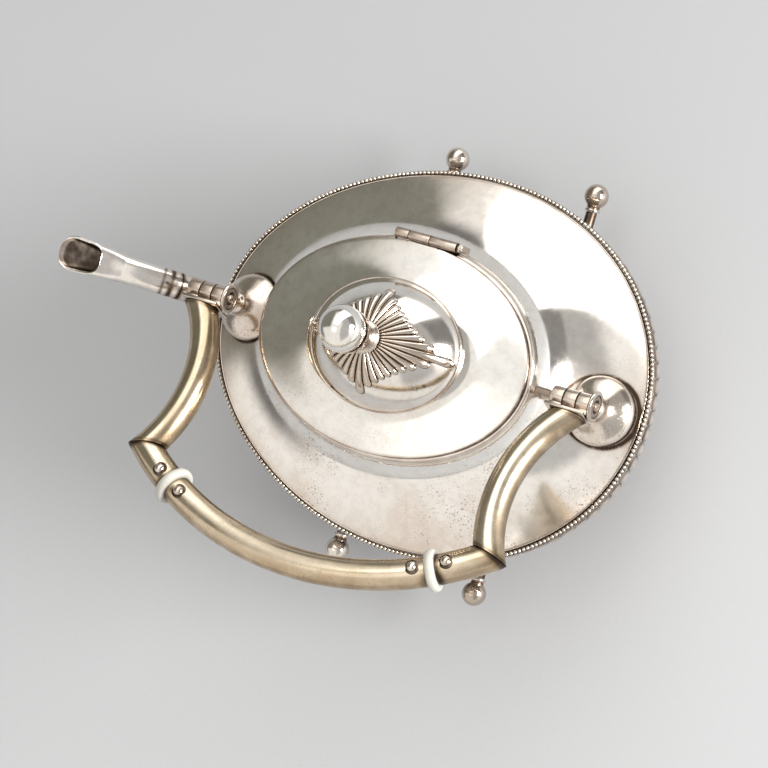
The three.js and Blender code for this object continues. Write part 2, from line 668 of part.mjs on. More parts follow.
// End plate of an arm with the two outer knuckles of the barrel.
function endFitting(side) {
  const x = side * PIVOT_X;
  const half = KNUCKLE_L * 1.5 + GAP;
  const plateHalf = TUBE_R + 0.45;
  const plate = box(x - half, x + half, -END_PLATE_S - END_PLATE_T, -END_PLATE_S, -plateHalf, plateHalf);
  let fitting = solid(plate);
  for (const end of [-1, 1]) {
    const inner = x + end * (KNUCKLE_L / 2 + GAP);
    const outer = x + end * half;
    const x0 = Math.min(inner, outer);
    const x1 = Math.max(inner, outer);
    fitting = fitting.add(solid(rod('x', BARREL_R, x0, x1, 16)));
    fitting = fitting.add(solid(box(x0, x1, -END_PLATE_S - 0.5, -1, -2.6, 2.6)));
  }
  return geometryOf(fitting.subtract(solid(rod('x', BOLT_BORE, x - 20, x + 20, 12))));
}

// ---------------------------------------------------------------- assembly

const teapot = new THREE.Group();
const handle = new THREE.Group();
handle.position.set(0, 0, AXIS_Z);
handle.rotation.x = -HANDLE_REST;
teapot.add(handle);

function place(name, geometry, material = silver(), group = teapot) {
  const mesh = new THREE.Mesh(geometry, material);
  mesh.name = name;
  group.add(mesh);
}

place('lower_bowl', lowerBowl());
place('base_plate', basePlate());
place('shoulder', shoulder());
place('bead_rim', beadRim());
place('neck_collar', neckCollar());

const spout = spoutTube();
place('spout_lower', geometryOf(spout.lower));
place('spout_upper', geometryOf(spout.upper));

for (const [side, end] of [[-1, 'front'], [1, 'back']]) {
  place(`boss_${end}`, boss(side));
  place(`post_${end}`, post(side));
  place(`pivot_bolt_${end}`, pivotBolt(side));
  const lugX = LUG_X[side < 0 ? 0 : 1];
  for (const [flank, hand] of [[-1, 'right'], [1, 'left']]) {
    place(`lug_rod_${end}_${hand}`, lugRod(lugX, flank));
    place(`lug_ball_${end}_${hand}`, lugBall(lugX, flank));
  }
}

place('lid_plate', lidPlate());
place('lid_bezel', lidBezel());
place('lid_dome', lidDome());
place('calyx', calyx());
place('finial_collar', finialCollar());
place('finial_ball', finialBall());
place('finial_nut', finialNut());
place('lid_hinge_seat', lidHingeSeat());
place('lid_hinge_leaf', lidHingeLeaf());
place('lid_hinge_pin', lidHingePin());

place('grip_bar', gripBar(), handleSilver(), handle);
for (const [side, end] of [[-1, 'front'], [1, 'back']]) {
  place(`handle_fitting_${end}`, endFitting(side), silver(), handle);
  place(`handle_arm_${end}`, handleArm(side), handleSilver(), handle);
  place(`handle_corner_${end}`, cornerStub(side), handleSilver(), handle);
  place(`insulator_${end}`, insulator(side), ivory(), handle);
  place(`insulator_pin_${end}_inner`, insulatorPin(side, -PIN_OFFSET), silver(), handle);
  place(`insulator_pin_${end}_outer`, insulatorPin(side, PIN_OFFSET), silver(), handle);
}

export default teapot;
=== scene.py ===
# Visual model of the oval swing-handled silver teapot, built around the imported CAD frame.
# Lengths in this script are millimetres until a mesh is made; the frame itself is in metres.

import json
import math

import bmesh
import bpy
import numpy as np
from mathutils import Matrix, Vector


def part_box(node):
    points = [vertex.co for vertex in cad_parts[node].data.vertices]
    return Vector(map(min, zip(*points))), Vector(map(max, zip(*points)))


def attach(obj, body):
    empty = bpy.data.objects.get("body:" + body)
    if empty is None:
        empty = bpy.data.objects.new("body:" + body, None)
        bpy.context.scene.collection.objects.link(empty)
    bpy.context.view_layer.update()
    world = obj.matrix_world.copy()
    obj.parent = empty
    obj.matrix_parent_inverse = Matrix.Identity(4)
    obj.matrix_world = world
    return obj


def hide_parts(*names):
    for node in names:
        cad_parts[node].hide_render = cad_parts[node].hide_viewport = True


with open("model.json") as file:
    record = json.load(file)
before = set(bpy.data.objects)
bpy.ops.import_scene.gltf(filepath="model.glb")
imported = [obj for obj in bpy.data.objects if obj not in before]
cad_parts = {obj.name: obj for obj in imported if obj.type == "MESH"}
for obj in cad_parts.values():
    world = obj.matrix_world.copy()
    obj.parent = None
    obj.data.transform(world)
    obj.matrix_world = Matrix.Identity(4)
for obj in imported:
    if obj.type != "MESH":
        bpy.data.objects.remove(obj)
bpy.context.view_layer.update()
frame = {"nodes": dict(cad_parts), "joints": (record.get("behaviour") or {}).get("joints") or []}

MM = 0.001
TAU = 2 * math.pi


def box_mm(node):
    lo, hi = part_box(node)
    return np.array(lo) / MM, np.array(hi) / MM


# ---------------------------------------------------------------- driving dimensions
# _A and _B are half lengths along X and Y, _Z heights above the table, _R radii, _L lengths,
# _T thicknesses. The same numbers shape the CAD solids.

RIM_LO, RIM_HI = box_mm("bead_rim")
LID_LO, LID_HI = box_mm("lid_plate")

RIM_A = (RIM_HI[0] - RIM_LO[0]) / 2
RIM_B = 80.0
RIM_EGG = 0.077
RIM_Z = 58.0
BEAD_R = 1.15
BOWL_DEPTH = 62.0
BOWL_INSET = 1.4
WALL = 1.2
FLOOR_Z = 2.3
BASE_A = 40.0

LID_X = (LID_LO[0] + LID_HI[0]) / 2
LID_A = (LID_HI[0] - LID_LO[0]) / 2
LID_B = 43.7
LID_TOP_Z = 93.6
LID_EDGE_T = 1.6
NECK_R = 59.9
NECK_TOP_Z = 91.4
DOME_A = 33.2
DOME_B = 27.0
DOME_Z = 99.0
DOME_H = 20.0
OVAL_EASE = 1.0

BALL_R = 9.5
BALL_Z = box_mm("finial_ball")[1][2] - BALL_R

PIVOTS = {joint["name"]: np.array(joint["pos_m"]) / MM for joint in frame["joints"]}
AXIS_Z = PIVOTS["handle_swing"][2]
HINGE_X, HINGE_Y, HINGE_Z = PIVOTS["lid_hinge"]

PIVOT_X = 83.7
BARREL_R = 4.3
KNUCKLE_L = 5.4
BOSS_X, BOSS_Z, BOSS_R, BOSS_TILT = 82.0, 65.2, 14.4, 0.15
HANDLE_REST = 0.316
TUBE_R = 6.15
GRIP_REACH, GRIP_BEND = 97.9, 128.0
CORNER_X = 78.4
RING_X, RING_R, RING_T = 59.4, 8.55, 3.8
PIN_OFFSET = 6.8
END_PLATE_S, END_PLATE_T = 5.2, 1.4
ARM_TOP = np.array([85.4, -END_PLATE_S])
ARM_SAG = 10.3
MITRE_ANGLE = 0.205
GAP = 0.3

LUG_X = {"front": -30.2, "back": 35.8}
LUG_Z, LUG_BALL_Y, LUG_BALL_R, LUG_ROD_R, LUG_ROD_END = 23.0, 86.7, 5.1, 2.35, 79.7

SPOUT_PATH = [(-78, 27), (-90, 31), (-102, 41), (-111, 54),
              (-119.5, 65), (-131, 73), (-145, 80), (-166, 92)]
SPOUT_MOUTH_Z = box_mm("spout_upper")[1][2]
SPOUT_SEAM = 0.56
SEAM_GAP = 0.0015

HINGE_L, HINGE_R = 27.8, 2.1
HINGE_JOINTS = (6.1, 15.8)
HAIRLINE = 0.09

UP_AXIS, X_AXIS = (0, 0, 1), (1, 0, 0)

# ---------------------------------------------------------------- mesh helpers


def grid(points, wrap_rows=False, wrap_columns=True):
    """Quads over an array of points [row, column, xyz]."""
    points = np.asarray(points, float)
    rows, columns = points.shape[:2]
    i = np.arange(rows if wrap_rows else rows - 1)[:, None]
    j = np.arange(columns if wrap_columns else columns - 1)[None, :]
    down, right = (i + 1) % rows, (j + 1) % columns
    quads = np.stack([i * columns + j, i * columns + right,
                      down * columns + right, down * columns + j], -1)
    return points.reshape(-1, 3), quads.reshape(-1, 4)


def join(shells):
    """Several shells (points, faces, grime and painted shade of each point) as one."""
    verts, faces, grime_and_shade, start = [], [], [], 0
    for points, corners, dirt in shells:
        verts.append(points)
        grime_and_shade.append(np.ravel(dirt))
        corners = corners.tolist() if isinstance(corners, np.ndarray) else corners
        faces.extend([index + start for index in face] for face in corners)
        start += len(points)
    return np.concatenate(verts), faces, np.concatenate(grime_and_shade)


def add_piece(name, parts, material, body, slot, node, sharp=32.0):
    """Makes one object from shells and ties it to the frame."""
    verts, faces, grime_and_shade = join(parts)
    mesh = bpy.data.meshes.new(name)
    mesh.from_pydata((verts * MM).tolist(), [], faces)
    layer = mesh.attributes.new("grime_and_shade", "FLOAT", "POINT")
    layer.data.foreach_set("value", grime_and_shade.astype(np.float32))
    bm = bmesh.new()
    bm.from_mesh(mesh)
    bmesh.ops.remove_doubles(bm, verts=bm.verts, dist=2e-6)
    bmesh.ops.dissolve_degenerate(bm, edges=bm.edges, dist=1e-7)
    bmesh.ops.recalc_face_normals(bm, faces=bm.faces)
    bm.to_mesh(mesh)
    bm.free()
    mesh.polygons.foreach_set("use_smooth", [True] * len(mesh.polygons))
    mesh.set_sharp_from_angle(angle=math.radians(sharp))
    mesh.materials.append(material)
    piece = bpy.data.objects.new(name, mesh)
    bpy.context.scene.collection.objects.link(piece)
    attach(piece, body)
    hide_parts(node)


def angles(count):
    return np.linspace(0, TAU, count, endpoint=False)


def bell(value, middle, width):
    """1 where value is at the middle, fading to 0 over a few widths: a line of grime, and in places a painted
    reflection band.
    """
    return np.exp(-((value - middle) / width) ** 2)


def oval(radius, angle, height):
    """Point of the body's plan ovals: ellipses inside the lid's outline, egg-shaped out to the rim."""
    radius, angle, height = np.broadcast_arrays(radius, angle, height)
    beyond = radius - LID_A
    out = (beyond + np.sqrt(beyond**2 + OVAL_EASE**2)) / 2 / (RIM_A - LID_A)
    share = np.clip(out, 0, 1)
    half = (radius - out * (RIM_A - LID_A)) * (LID_B / LID_A) + out * (RIM_B - LID_B)
    x = LID_X * (1 - share) + radius * np.cos(angle)
    y = half * np.sin(angle) * (1 + RIM_EGG * share * np.cos(angle))
    return np.stack([x, y, height], -1)


def dome_oval(radius, angle, height):
    radius, angle, height = np.broadcast_arrays(radius, angle, height)
    x = LID_X + radius * np.cos(angle)
    y = radius * np.sin(angle) * DOME_B / DOME_A
    return np.stack([x, y, height], -1)


def profile_arrays(profile):
    profile = np.asarray(profile, float)
    return profile[:, 0][:, None], profile[:, 1][:, None]


def oval_shell(profile, columns, grime_and_shade, wrap=True):
    """A profile of [radius, height] pairs carried round the body's ovals."""
    radius, height = profile_arrays(profile)
    verts, faces = grid(oval(radius, angles(columns)[None, :], height), wrap_rows=wrap)
    return verts, faces, np.full(len(verts), grime_and_shade)


def bezier(points, count):
    a, b, c, d = (np.array(p, float) for p in points)
    t = np.linspace(0, 1, count)[:, None]
    return a * (1 - t) ** 3 + 3 * b * t * (1 - t) ** 2 + 3 * c * t * t * (1 - t) + d * t**3


def rounded(corners, radius, steps=4, closed=False):
    """A profile through corner points with each inner corner rounded off."""
    corners = [np.array(c, float) for c in corners]
    count = len(corners)
    path = []
    for index, corner in enumerate(corners):
        if not closed and index in (0, count - 1):
            path.append(corner)
            continue
        before, after = corners[index - 1], corners[(index + 1) % count]
        to_before, to_after = np.linalg.norm(before - corner), np.linalg.norm(after - corner)
        size = min(radius, to_before * 0.49, to_after * 0.49)
        start = corner + (before - corner) / max(to_before, 1e-9) * size
        end = corner + (after - corner) / max(to_after, 1e-9) * size
        for t in np.linspace(0, 1, steps + 1):
            path.append(start * (1 - t) ** 2 + 2 * corner * t * (1 - t) + end * t * t)
    return np.array(path)


def basis(axis):
    axis = np.array(axis, float)
    axis /= np.linalg.norm(axis)
    helper = np.array([0, 0, 1.0]) if abs(axis[2]) < 0.9 else np.array([1.0, 0, 0])
    across = np.cross(helper, axis)
    across /= np.linalg.norm(across)
    return axis, across, np.cross(axis, across)


def turned(profile, grime_and_shade, origin, axis, columns, wrap=False, wave=None):
    """Surface of revolution of [radius, along] pairs about an axis through a point.

    The grime and shade value is one number or one for each pair; wave(along, turn) scales the radius."""
    along, across, up = basis(axis)
    radius, height = profile_arrays(profile)
    turn = angles(columns)[None, :]
    if wave is not None:
        radius = radius * wave(height, turn)
    ring = np.cos(turn)[..., None] * across + np.sin(turn)[..., None] * up
    points = np.array(origin, float) + radius[..., None] * ring + height[..., None] * along
    verts, faces = grid(points, wrap_rows=wrap)
    return verts, faces, np.repeat(np.zeros(len(profile)) + grime_and_shade, columns)


def rounded_box(lo, hi, bevel, grime_and_shade, segments=2):
    lo, hi = np.array(lo, float), np.array(hi, float)
    bm = bmesh.new()
    bmesh.ops.create_cube(bm, size=1.0)
    for vert in bm.verts:
        vert.co = Vector(((lo + hi) / 2 + np.array(vert.co) * (hi - lo)).tolist())
    bmesh.ops.bevel(bm, geom=list(bm.edges), offset=bevel, segments=segments, profile=0.5,
                    affect="EDGES")
    bm.verts.index_update()
    verts = np.array([v.co[:] for v in bm.verts])
    faces = [[v.index for v in face.verts] for face in bm.faces]
    bm.free()
    return verts, faces, np.full(len(verts), grime_and_shade)


def folded(part):
    """Moves a shell from the handle's plane (pivot along X, -Y away from it) to its folded place."""
    c, s = math.cos(-HANDLE_REST), math.sin(-HANDLE_REST)
    x, y, z = part[0].T
    return (np.stack([x, y * c - z * s, AXIS_Z + y * s + z * c], -1), *part[1:])


# ---------------------------------------------------------------- materials


class Nodes:
    """Short hand for building the node tree of a material or a world."""

    def __init__(self, owner, place="Object"):
        owner.use_nodes = True
        self.owner = owner
        self.tree = owner.node_tree
        self.place = self.tree.nodes.new("ShaderNodeTexCoord").outputs[place]

    def put(self, node, sockets):
        """Links outputs to a node's sockets, or sets plain numbers and colours on them."""
        for name, value in sockets.items():
            socket = node.inputs[name]
            if isinstance(value, (int, float)):
                socket.default_value = value
            elif isinstance(value, (tuple, Vector)):
                socket.default_value = (*value, 1.0)[:len(socket.default_value)]
            else:
                self.tree.links.new(value, socket)

    def node(self, kind, sockets, **settings):
        made = self.tree.nodes.new(kind)
        for key, value in settings.items():
            setattr(made, key, value)
        self.put(made, sockets)
        return made

    def noise(self, scale, detail=4.0, roughness=0.55, distortion=0.0, stretch=None):
        place = self.place
        if stretch is not None:
            place = self.node("ShaderNodeMapping", {"Scale": stretch, "Vector": place}).outputs["Vector"]
        sockets = {"Vector": place, "Scale": scale, "Detail": detail, "Roughness": roughness,
                   "Distortion": distortion}
        return self.node("ShaderNodeTexNoise", sockets).outputs["Fac"]

    def ramp(self, value, low, high, from_value=0.0, to_value=1.0, curve="SMOOTHSTEP"):
        sockets = {"Value": value, "From Min": low, "From Max": high, "To Min": from_value,
                   "To Max": to_value}
        return self.node("ShaderNodeMapRange", sockets, interpolation_type=curve).outputs["Result"]

    def math(self, operation, a, b):
        return self.node("ShaderNodeMath", {0: a, 1: b}, operation=operation).outputs[0]

    def mix(self, factor, a, b):
        # Sockets 6, 7 and 2 are the Mix node's colours A, B and result.
        return self.node("ShaderNodeMix", {0: factor, 6: a, 7: b}, data_type="RGBA").outputs[2]

    def bump(self, height, strength, distance, before=None):
        sockets = {"Height": height, "Strength": strength, "Distance": distance}
        if before is not None:
            sockets["Normal"] = before
        return self.node("ShaderNodeBump", sockets).outputs["Normal"]

    def grime_and_shade(self):
        return self.node("ShaderNodeAttribute", {}, attribute_name="grime_and_shade").outputs["Fac"]

    def along(self, axis):
        return self.node("ShaderNodeSeparateXYZ", {"Vector": self.place}).outputs[axis]

    def finished(self, **sockets):
        """The material, with its shader's sockets set; underscores stand for spaces."""
        named = {name.replace("_", " "): value for name, value in sockets.items()}
        self.put(self.tree.nodes["Principled BSDF"], named)
        return self.owner


BROWN_FILM = (0.63, 0.49, 0.38)
BROWN_PIT = (0.25, 0.16, 0.10)
DARK_OXIDE = (0.055, 0.038, 0.026)


def silver(name, base, tarnish, rough, pits, tarnish_amount=0.45, streaks=None, wave=0.35,
           worn_side=False, film_tint=(0.42, 0.29, 0.20)):
    """Old silver: cloudy tarnish, brown film and pits, and dark oxide where the mesh's grime and shade value
    is high, which on some parts is painted shade.
    """
    n = Nodes(bpy.data.materials.new(f"{name}_silver_worn"))
    clouds = n.noise(22.0, detail=6.0, roughness=0.62, distortion=0.4, stretch=streaks)
    fine = n.noise(240.0, detail=5.0, roughness=0.6)
    patches = n.ramp(clouds, 0.40, 0.66, 0.0, tarnish_amount)
    colour = n.mix(patches, base, tarnish)
    mottle = n.ramp(fine, 0.42, 0.66, 0.0, 0.20)
    colour = n.mix(mottle, colour, tuple(c * 0.58 for c in base))
    # Clusters of small brown pits; worn_side makes them denser towards -Y, with a brown film.
    cells = n.node("ShaderNodeTexVoronoi", {"Vector": n.place, "Scale": 950.0})
    dots = n.ramp(cells.outputs["Distance"], 0.10, 0.46, 1.0, 0.0)
    where = n.ramp(n.noise(38.0, detail=8.0, roughness=0.8), 0.47, 0.59, 0.0, pits)
    if worn_side:
        film = n.ramp(n.noise(17.0, detail=8.0, roughness=0.75), 0.46, 0.62, 0.0, 0.36)
        share = n.ramp(n.along("Y"), -0.062, 0.03, 1.0, 0.16)
        where = n.math("MULTIPLY", where, share)
        film = n.math("MULTIPLY", film, share)
        colour = n.mix(film, colour, BROWN_FILM)
    spots = n.math("MULTIPLY", dots, where)
    spots = n.math("MULTIPLY", spots, n.ramp(n.noise(900.0, detail=2.0), 0.40, 0.50, 0.0, 1.0))
    colour = n.mix(spots, colour, BROWN_PIT)
    # A little of the grime and shade value reads as brown film, much of it as dark oxide; where the value is
    # painted shade, the film and oxide it brings are painted shade too.
    dirt = n.math("MULTIPLY", n.grime_and_shade(), n.ramp(n.noise(150.0, detail=4.0), 0.25, 0.62, 0.66, 1.0))
    colour = n.mix(n.ramp(dirt, 0.0, 0.45, 0.0, 0.62, curve="LINEAR"), colour, film_tint)
    colour = n.mix(n.ramp(dirt, 0.22, 0.85, 0.0, 1.0), colour, DARK_OXIDE)
    shine = n.ramp(n.noise(46.0, detail=6.0, roughness=0.68), 0.34, 0.72, rough * 0.6, rough * 1.6)
    shine = n.math("ADD", shine, n.math("MULTIPLY", spots, 0.30))
    shine = n.math("ADD", shine, n.math("MULTIPLY", dirt, 0.30))
    ripple = n.bump(n.noise(34.0, detail=2.0, roughness=0.4), wave, 0.00028)
    return n.finished(Base_Color=colour, Metallic=1.0, Roughness=shine,
                      Normal=n.bump(fine, 0.12, 0.00006, ripple))


def ivory():
    """Greyish ivory with faint streaks along the handle and dirt round the bore."""
    n = Nodes(bpy.data.materials.new("insulator_ivory"))
    clouds = n.noise(120.0, detail=5.0, roughness=0.6)
    colour = n.mix(n.ramp(clouds, 0.35, 0.7, 0.0, 0.55), (0.52, 0.52, 0.485), (0.44, 0.41, 0.35))
    streak = n.noise(60.0, detail=6.0, roughness=0.7, stretch=(1.0, 8.0, 8.0))
    colour = n.mix(n.ramp(streak, 0.55, 0.75, 0.0, 0.25), colour, (0.50, 0.44, 0.34))
    colour = n.mix(n.math("MULTIPLY", n.grime_and_shade(), 0.85), colour, (0.16, 0.12, 0.08))
    return n.finished(Base_Color=colour, Roughness=n.ramp(clouds, 0.3, 0.7, 0.30, 0.46),
                      Subsurface_Weight=0.12, Subsurface_Radius=(0.004, 0.003, 0.002),
                      Normal=n.bump(streak, 0.12, 0.0001))


HANDLE_FILM = (0.42, 0.27, 0.135)
BODY_SILVER = silver("body", (0.92, 0.89, 0.845), (0.80, 0.74, 0.67), 0.10, 1.0, worn_side=True)
LID_SILVER = silver("lid", (0.91, 0.89, 0.85), (0.76, 0.72, 0.65), 0.09, 0.35, worn_side=True)
SPOUT_SILVER = silver("spout", (0.92, 0.88, 0.83), (0.55, 0.43, 0.33), 0.09, 0.35, 0.5, wave=0.8)
FITTING_SILVER = silver("fitting", (0.80, 0.74, 0.67), (0.44, 0.345, 0.27), 0.12, 0.9, 0.8, wave=1.0)
CALYX_SILVER = silver("calyx", (0.76, 0.70, 0.63), (0.46, 0.36, 0.28), 0.16, 0.2, 0.6)
GRIP_SILVER = silver("grip", (0.80, 0.71, 0.56), (0.42, 0.315, 0.18), 0.15, 0.5, 0.85,
                     streaks=(0.2, 1.0, 1.0), wave=0.7, film_tint=HANDLE_FILM)
ARM_SILVER = silver("arm", (0.80, 0.72, 0.58), (0.41, 0.315, 0.185), 0.14, 0.5, 0.85,
                    streaks=(1.0, 0.25, 0.6), wave=0.7, film_tint=HANDLE_FILM)
BEAD_SILVER = silver("bead", (0.74, 0.70, 0.64), (0.42, 0.34, 0.26), 0.18, 0.0, 0.6)
IVORY = ivory()

# ---------------------------------------------------------------- body


def arc_length_angles(radius, count):
    """Angles that divide an oval into equal lengths."""
    turn = np.linspace(0, TAU, 2881)
    points = oval(np.array(radius), turn, np.array(0.0))
    steps = np.linalg.norm(np.diff(points, axis=0), axis=1)
    length = np.concatenate([[0], np.cumsum(steps)])
    return np.interp(np.arange(count) / count * length[-1], length, turn)


GADROONS, BEADS = 86, 298
PER_LOBE = 12
LOBE_HEIGHT, LOBE_SINK = 2.1, 0.9


def bowl_profile(offset, floor_z, steps):
    radius, depth, top = RIM_A - BOWL_INSET + offset, BOWL_DEPTH + offset, RIM_Z - BEAD_R
    last = math.asin((top - floor_z) / depth)
    angle = np.linspace(0, last, steps)
    return np.stack([radius * np.cos(angle), top - depth * np.sin(angle)], -1)


def gadrooned_bowl():
    """Outer wall with convex lobes that start under the rim and run down to the base plate."""
    columns = arc_length_angles(RIM_A - BOWL_INSET, GADROONS * PER_LOBE)
    across = 2 * ((np.arange(GADROONS * PER_LOBE) / PER_LOBE) % 1.0) - 1
    outer = bowl_profile(0, FLOOR_Z, 72)
    share = np.linspace(0, 1, len(outer))[:, None]
    head = 0.035 + 0.045 * (1 - np.sqrt(np.clip(1 - across**2, 0, 1)))[None, :]
    rise = np.clip((share - head) / 0.07, 0, 1)
    rise = np.sqrt(np.clip(1 - (1 - rise) ** 2, 0, 1))
    fade = 1 - 0.72 * share
    lobe = np.sqrt(np.clip(1 - (across * 0.985) ** 2, 0, 1))[None, :]
    bulge = LOBE_HEIGHT * rise * fade * lobe - LOBE_SINK * rise * fade
    radius = outer[:, 0][:, None] + bulge
    height = outer[:, 1][:, None] - bulge * 0.25
    between_lobes = 1.35 * (1 - lobe) * rise
    # Tarnish in the grooves between the lobes and a line at their heads; the darkening that grows towards the
    # base is painted shade, which keeps the underside from lighting the floor's shadow.
    dirt = np.clip(between_lobes + 0.75 * bell(share, head, 0.02) + 0.9 * share, 0, 1) * 0.9
    inner_radius, inner_height = profile_arrays(bowl_profile(-WALL, FLOOR_Z + WALL, 30))
    points = np.concatenate([oval(np.array([[0.0]]), columns[None, :], FLOOR_Z),
                             oval(radius, columns[None, :], height)[::-1],
                             oval(inner_radius, columns[None, :], inner_height),
                             oval(np.array([[0.0]]), columns[None, :], FLOOR_Z + WALL)])
    tarnish_and_shade = np.zeros((len(points), len(columns)))
    tarnish_and_shade[1:1 + len(outer)] = dirt[::-1]
    tarnish_and_shade[1 + len(outer):] = 0.45
    return [(*grid(points), tarnish_and_shade)]


SHOULDER_EDGE = RIM_A - 2.55
COVE = [(SHOULDER_EDGE, RIM_Z + 0.4), (84, 61.5), (62, 70), (NECK_R, 88.5)]


def boss_distance(points):
    side = np.sign(points[..., 0])
    return np.hypot(points[..., 0] - side * BOSS_X, points[..., 1])


def shoulder_parts():
    cove = bezier(COVE, 110)
    inner = bezier([(r - WALL, z - WALL / 2) for r, z in COVE], 60)[::-1]
    neck = [(NECK_R, 90.0), (NECK_R, NECK_TOP_Z), (NECK_R - 0.5, NECK_TOP_Z + 0.15),
            (NECK_R - WALL, NECK_TOP_Z)]
    edge = [(SHOULDER_EDGE - WALL, RIM_Z - 0.8), (SHOULDER_EDGE, RIM_Z - 0.8)]
    profile = np.concatenate([cove, neck, inner, edge])
    radius, height = profile_arrays(profile)
    points = oval(radius, angles(540)[None, :], height)
    dirt = np.full(points.shape[:2], 0.4)
    outside = slice(0, len(cove))
    rim_line = bell(cove[:, 0], SHOULDER_EDGE, 0.6) * 0.5
    rim_tint = np.exp((cove[:, 0] - SHOULDER_EDGE) / 4.0) * 0.30
    neck_line = bell(cove[:, 1], 88.4, 1.6) * 0.5
    near = boss_distance(points[outside])
    boss_line = bell(near, BOSS_R + 0.1, 0.8) * 0.9 + np.exp(-np.abs(near - BOSS_R) / 3.5) * 0.25
    dirt[outside] = (rim_line + rim_tint + neck_line)[:, None] + boss_line
    return [(*grid(points, wrap_rows=True), np.clip(dirt, 0, 1))]


def bead_parts():
    """Separate round beads on a wire, with a lip on its inner side and a strip below."""
    radius = RIM_A - BEAD_R
    height = RIM_Z + 0.35
    centres = oval(np.array(radius), arc_length_angles(radius, BEADS), np.array(height))
    polar = np.linspace(0, math.pi, 7)[:, None]
    turn = angles(10)[None, :]
    ball, faces = grid(np.stack([np.sin(polar) * np.cos(turn), np.sin(polar) * np.sin(turn),
                                 np.cos(polar) + 0 * turn], -1))
    # Each bead is cleaner on its crown.
    bead_dirt = np.clip(0.28 - ball[:, 2] * 0.55, 0, 0.85)
    parts = [(centre + ball * 0.88, faces, bead_dirt) for centre in centres]
    wire_turn = angles(12)
    wire = np.stack([radius - 0.1 + 0.85 * np.cos(wire_turn), height - 0.45 + 0.62 * np.sin(wire_turn)], -1)
    lip = rounded([(radius - 2.1, height - 1.15), (radius - 2.1, height + 0.1),
                   (radius - 1.35, height + 0.25), (radius - 1.05, height - 1.15)], 0.3, closed=True)
    under = rounded([(radius - 1.6, height - 2.0), (radius + 0.55, height - 1.7),
                     (radius + 0.55, height - 1.05), (radius - 1.6, height - 1.0)], 0.3, closed=True)
    for profile, dirt in ((wire, 0.72), (lip, 0.10), (under, 0.25)):
        parts.append(oval_shell(profile, 420, dirt))
    return parts


def collar_parts():
    """Raised band round the neck, open where the lid hinge sits."""
    half = HINGE_L / 2 + GAP
    profile = rounded([(NECK_R + 0.1, 89.1), (61.3, 88.9), (62.2, 90.1), (61.6, 91.4),
                       (NECK_R + 0.1, 91.6)], 0.5, closed=True)
    turn = angles(720)
    points = oval(np.array(61.0), turn, np.array(90.0))
    open_part = (np.abs(points[:, 0] - HINGE_X) < half) & (points[:, 1] > 0)
    start = int(np.argmax(open_part)) + int(open_part.sum())
    keep = [(start + k) % len(turn) for k in range(int((~open_part).sum()))]
    radius, height = profile_arrays(profile)
    ring = oval(radius, turn[keep][None, :], height)
    verts, faces = grid(ring, wrap_rows=True, wrap_columns=False)
    rows, columns = ring.shape[:2]
    caps = [[row * columns + end for row in range(rows)] for end in (0, columns - 1)]
    return [(verts, faces.tolist() + caps, np.full(len(verts), 0.34))]


def base_parts():
    profile = rounded([(0, 0), (BASE_A - 0.4, 0), (BASE_A, 0.8), (BASE_A, 2.0), (0, 2.0)], 0.5)
    verts, faces, dirt = oval_shell(profile, 220, 0.10, wrap=False)
    ring = bell(np.hypot(verts[:, 0], verts[:, 1] * 1.38), 31, 0.5) * 0.5
    return [(verts, faces, ring + dirt)]


# ---------------------------------------------------------------- spout


def spout_curve(count):
    """Centripetal spline through the spout's path, as [x, z] with unit tangents."""
    pts = [np.array(p, float) for p in SPOUT_PATH]
    pts = [2 * pts[0] - pts[1], *pts, 2 * pts[-1] - pts[-2]]
    spans = len(SPOUT_PATH) - 1
    t = np.linspace(0, 1, count) * spans
    out = np.zeros((count, 2))
    for k, value in enumerate(t):
        i = min(int(value), spans - 1)
        p0, p1, p2, p3 = pts[i:i + 4]
        d = [max(np.linalg.norm(b - a) ** 0.5, 1e-6) for a, b in ((p0, p1), (p1, p2), (p2, p3))]
        w = value - i
        m1 = ((p1 - p0) / d[0] - (p2 - p0) / (d[0] + d[1]) + (p2 - p1) / d[1]) * d[1]
        m2 = ((p2 - p1) / d[1] - (p3 - p1) / (d[1] + d[2]) + (p3 - p2) / d[2]) * d[1]
        out[k] = ((2 * w**3 - 3 * w**2 + 1) * p1 + (w**3 - 2 * w**2 + w) * m1
                  + (3 * w**2 - 2 * w**3) * p2 + (w**3 - w**2) * m2)
    tangent = np.gradient(out, axis=0)
    tangent /= np.linalg.norm(tangent, axis=1)[:, None]
    return out, tangent


def spout_section(t, phi, shrink):
    """Half-width (across) and half-height of the tube's section at a share t of its length."""
    taper = np.clip(1 - t / 0.5, 0, 1) ** 2
    flare = np.clip((t - 0.72) / 0.28, 0, 1) ** 1.6
    c, s = np.cos(phi), np.sin(phi)
    squared_top = np.clip((t - 0.80) / 0.14, 0, 1) * np.clip(c * 3, 0, 1)
    power = 2 + 0.5 * np.clip((t - 0.45) / 0.35, 0, 1) + 2.4 * squared_top
    half_width = 5.75 + 3.8 * taper + 2.5 * flare - shrink
    half_height = 5.6 + 3.8 * taper - 0.6 * flare - shrink
    size = (np.abs(c) ** power + np.abs(s) ** power) ** (-1 / power)
    return half_width * size * s, half_height * size * c


def spout_points(t_grid, phi, shrink):
    """Points of the tube at shares t_grid of its length, [rows, 1 or columns], and angles phi."""
    centre, tangent = spout_curve(900)
    base = np.linspace(0, 1, 900)
    cx, cz, tx, tz = (np.interp(t_grid, base, line) for line in (*centre.T, *tangent.T))
    across, high = spout_section(t_grid, phi[None, :], shrink)
    return np.stack([cx + tz * high, across, cz - tx * high], -1)


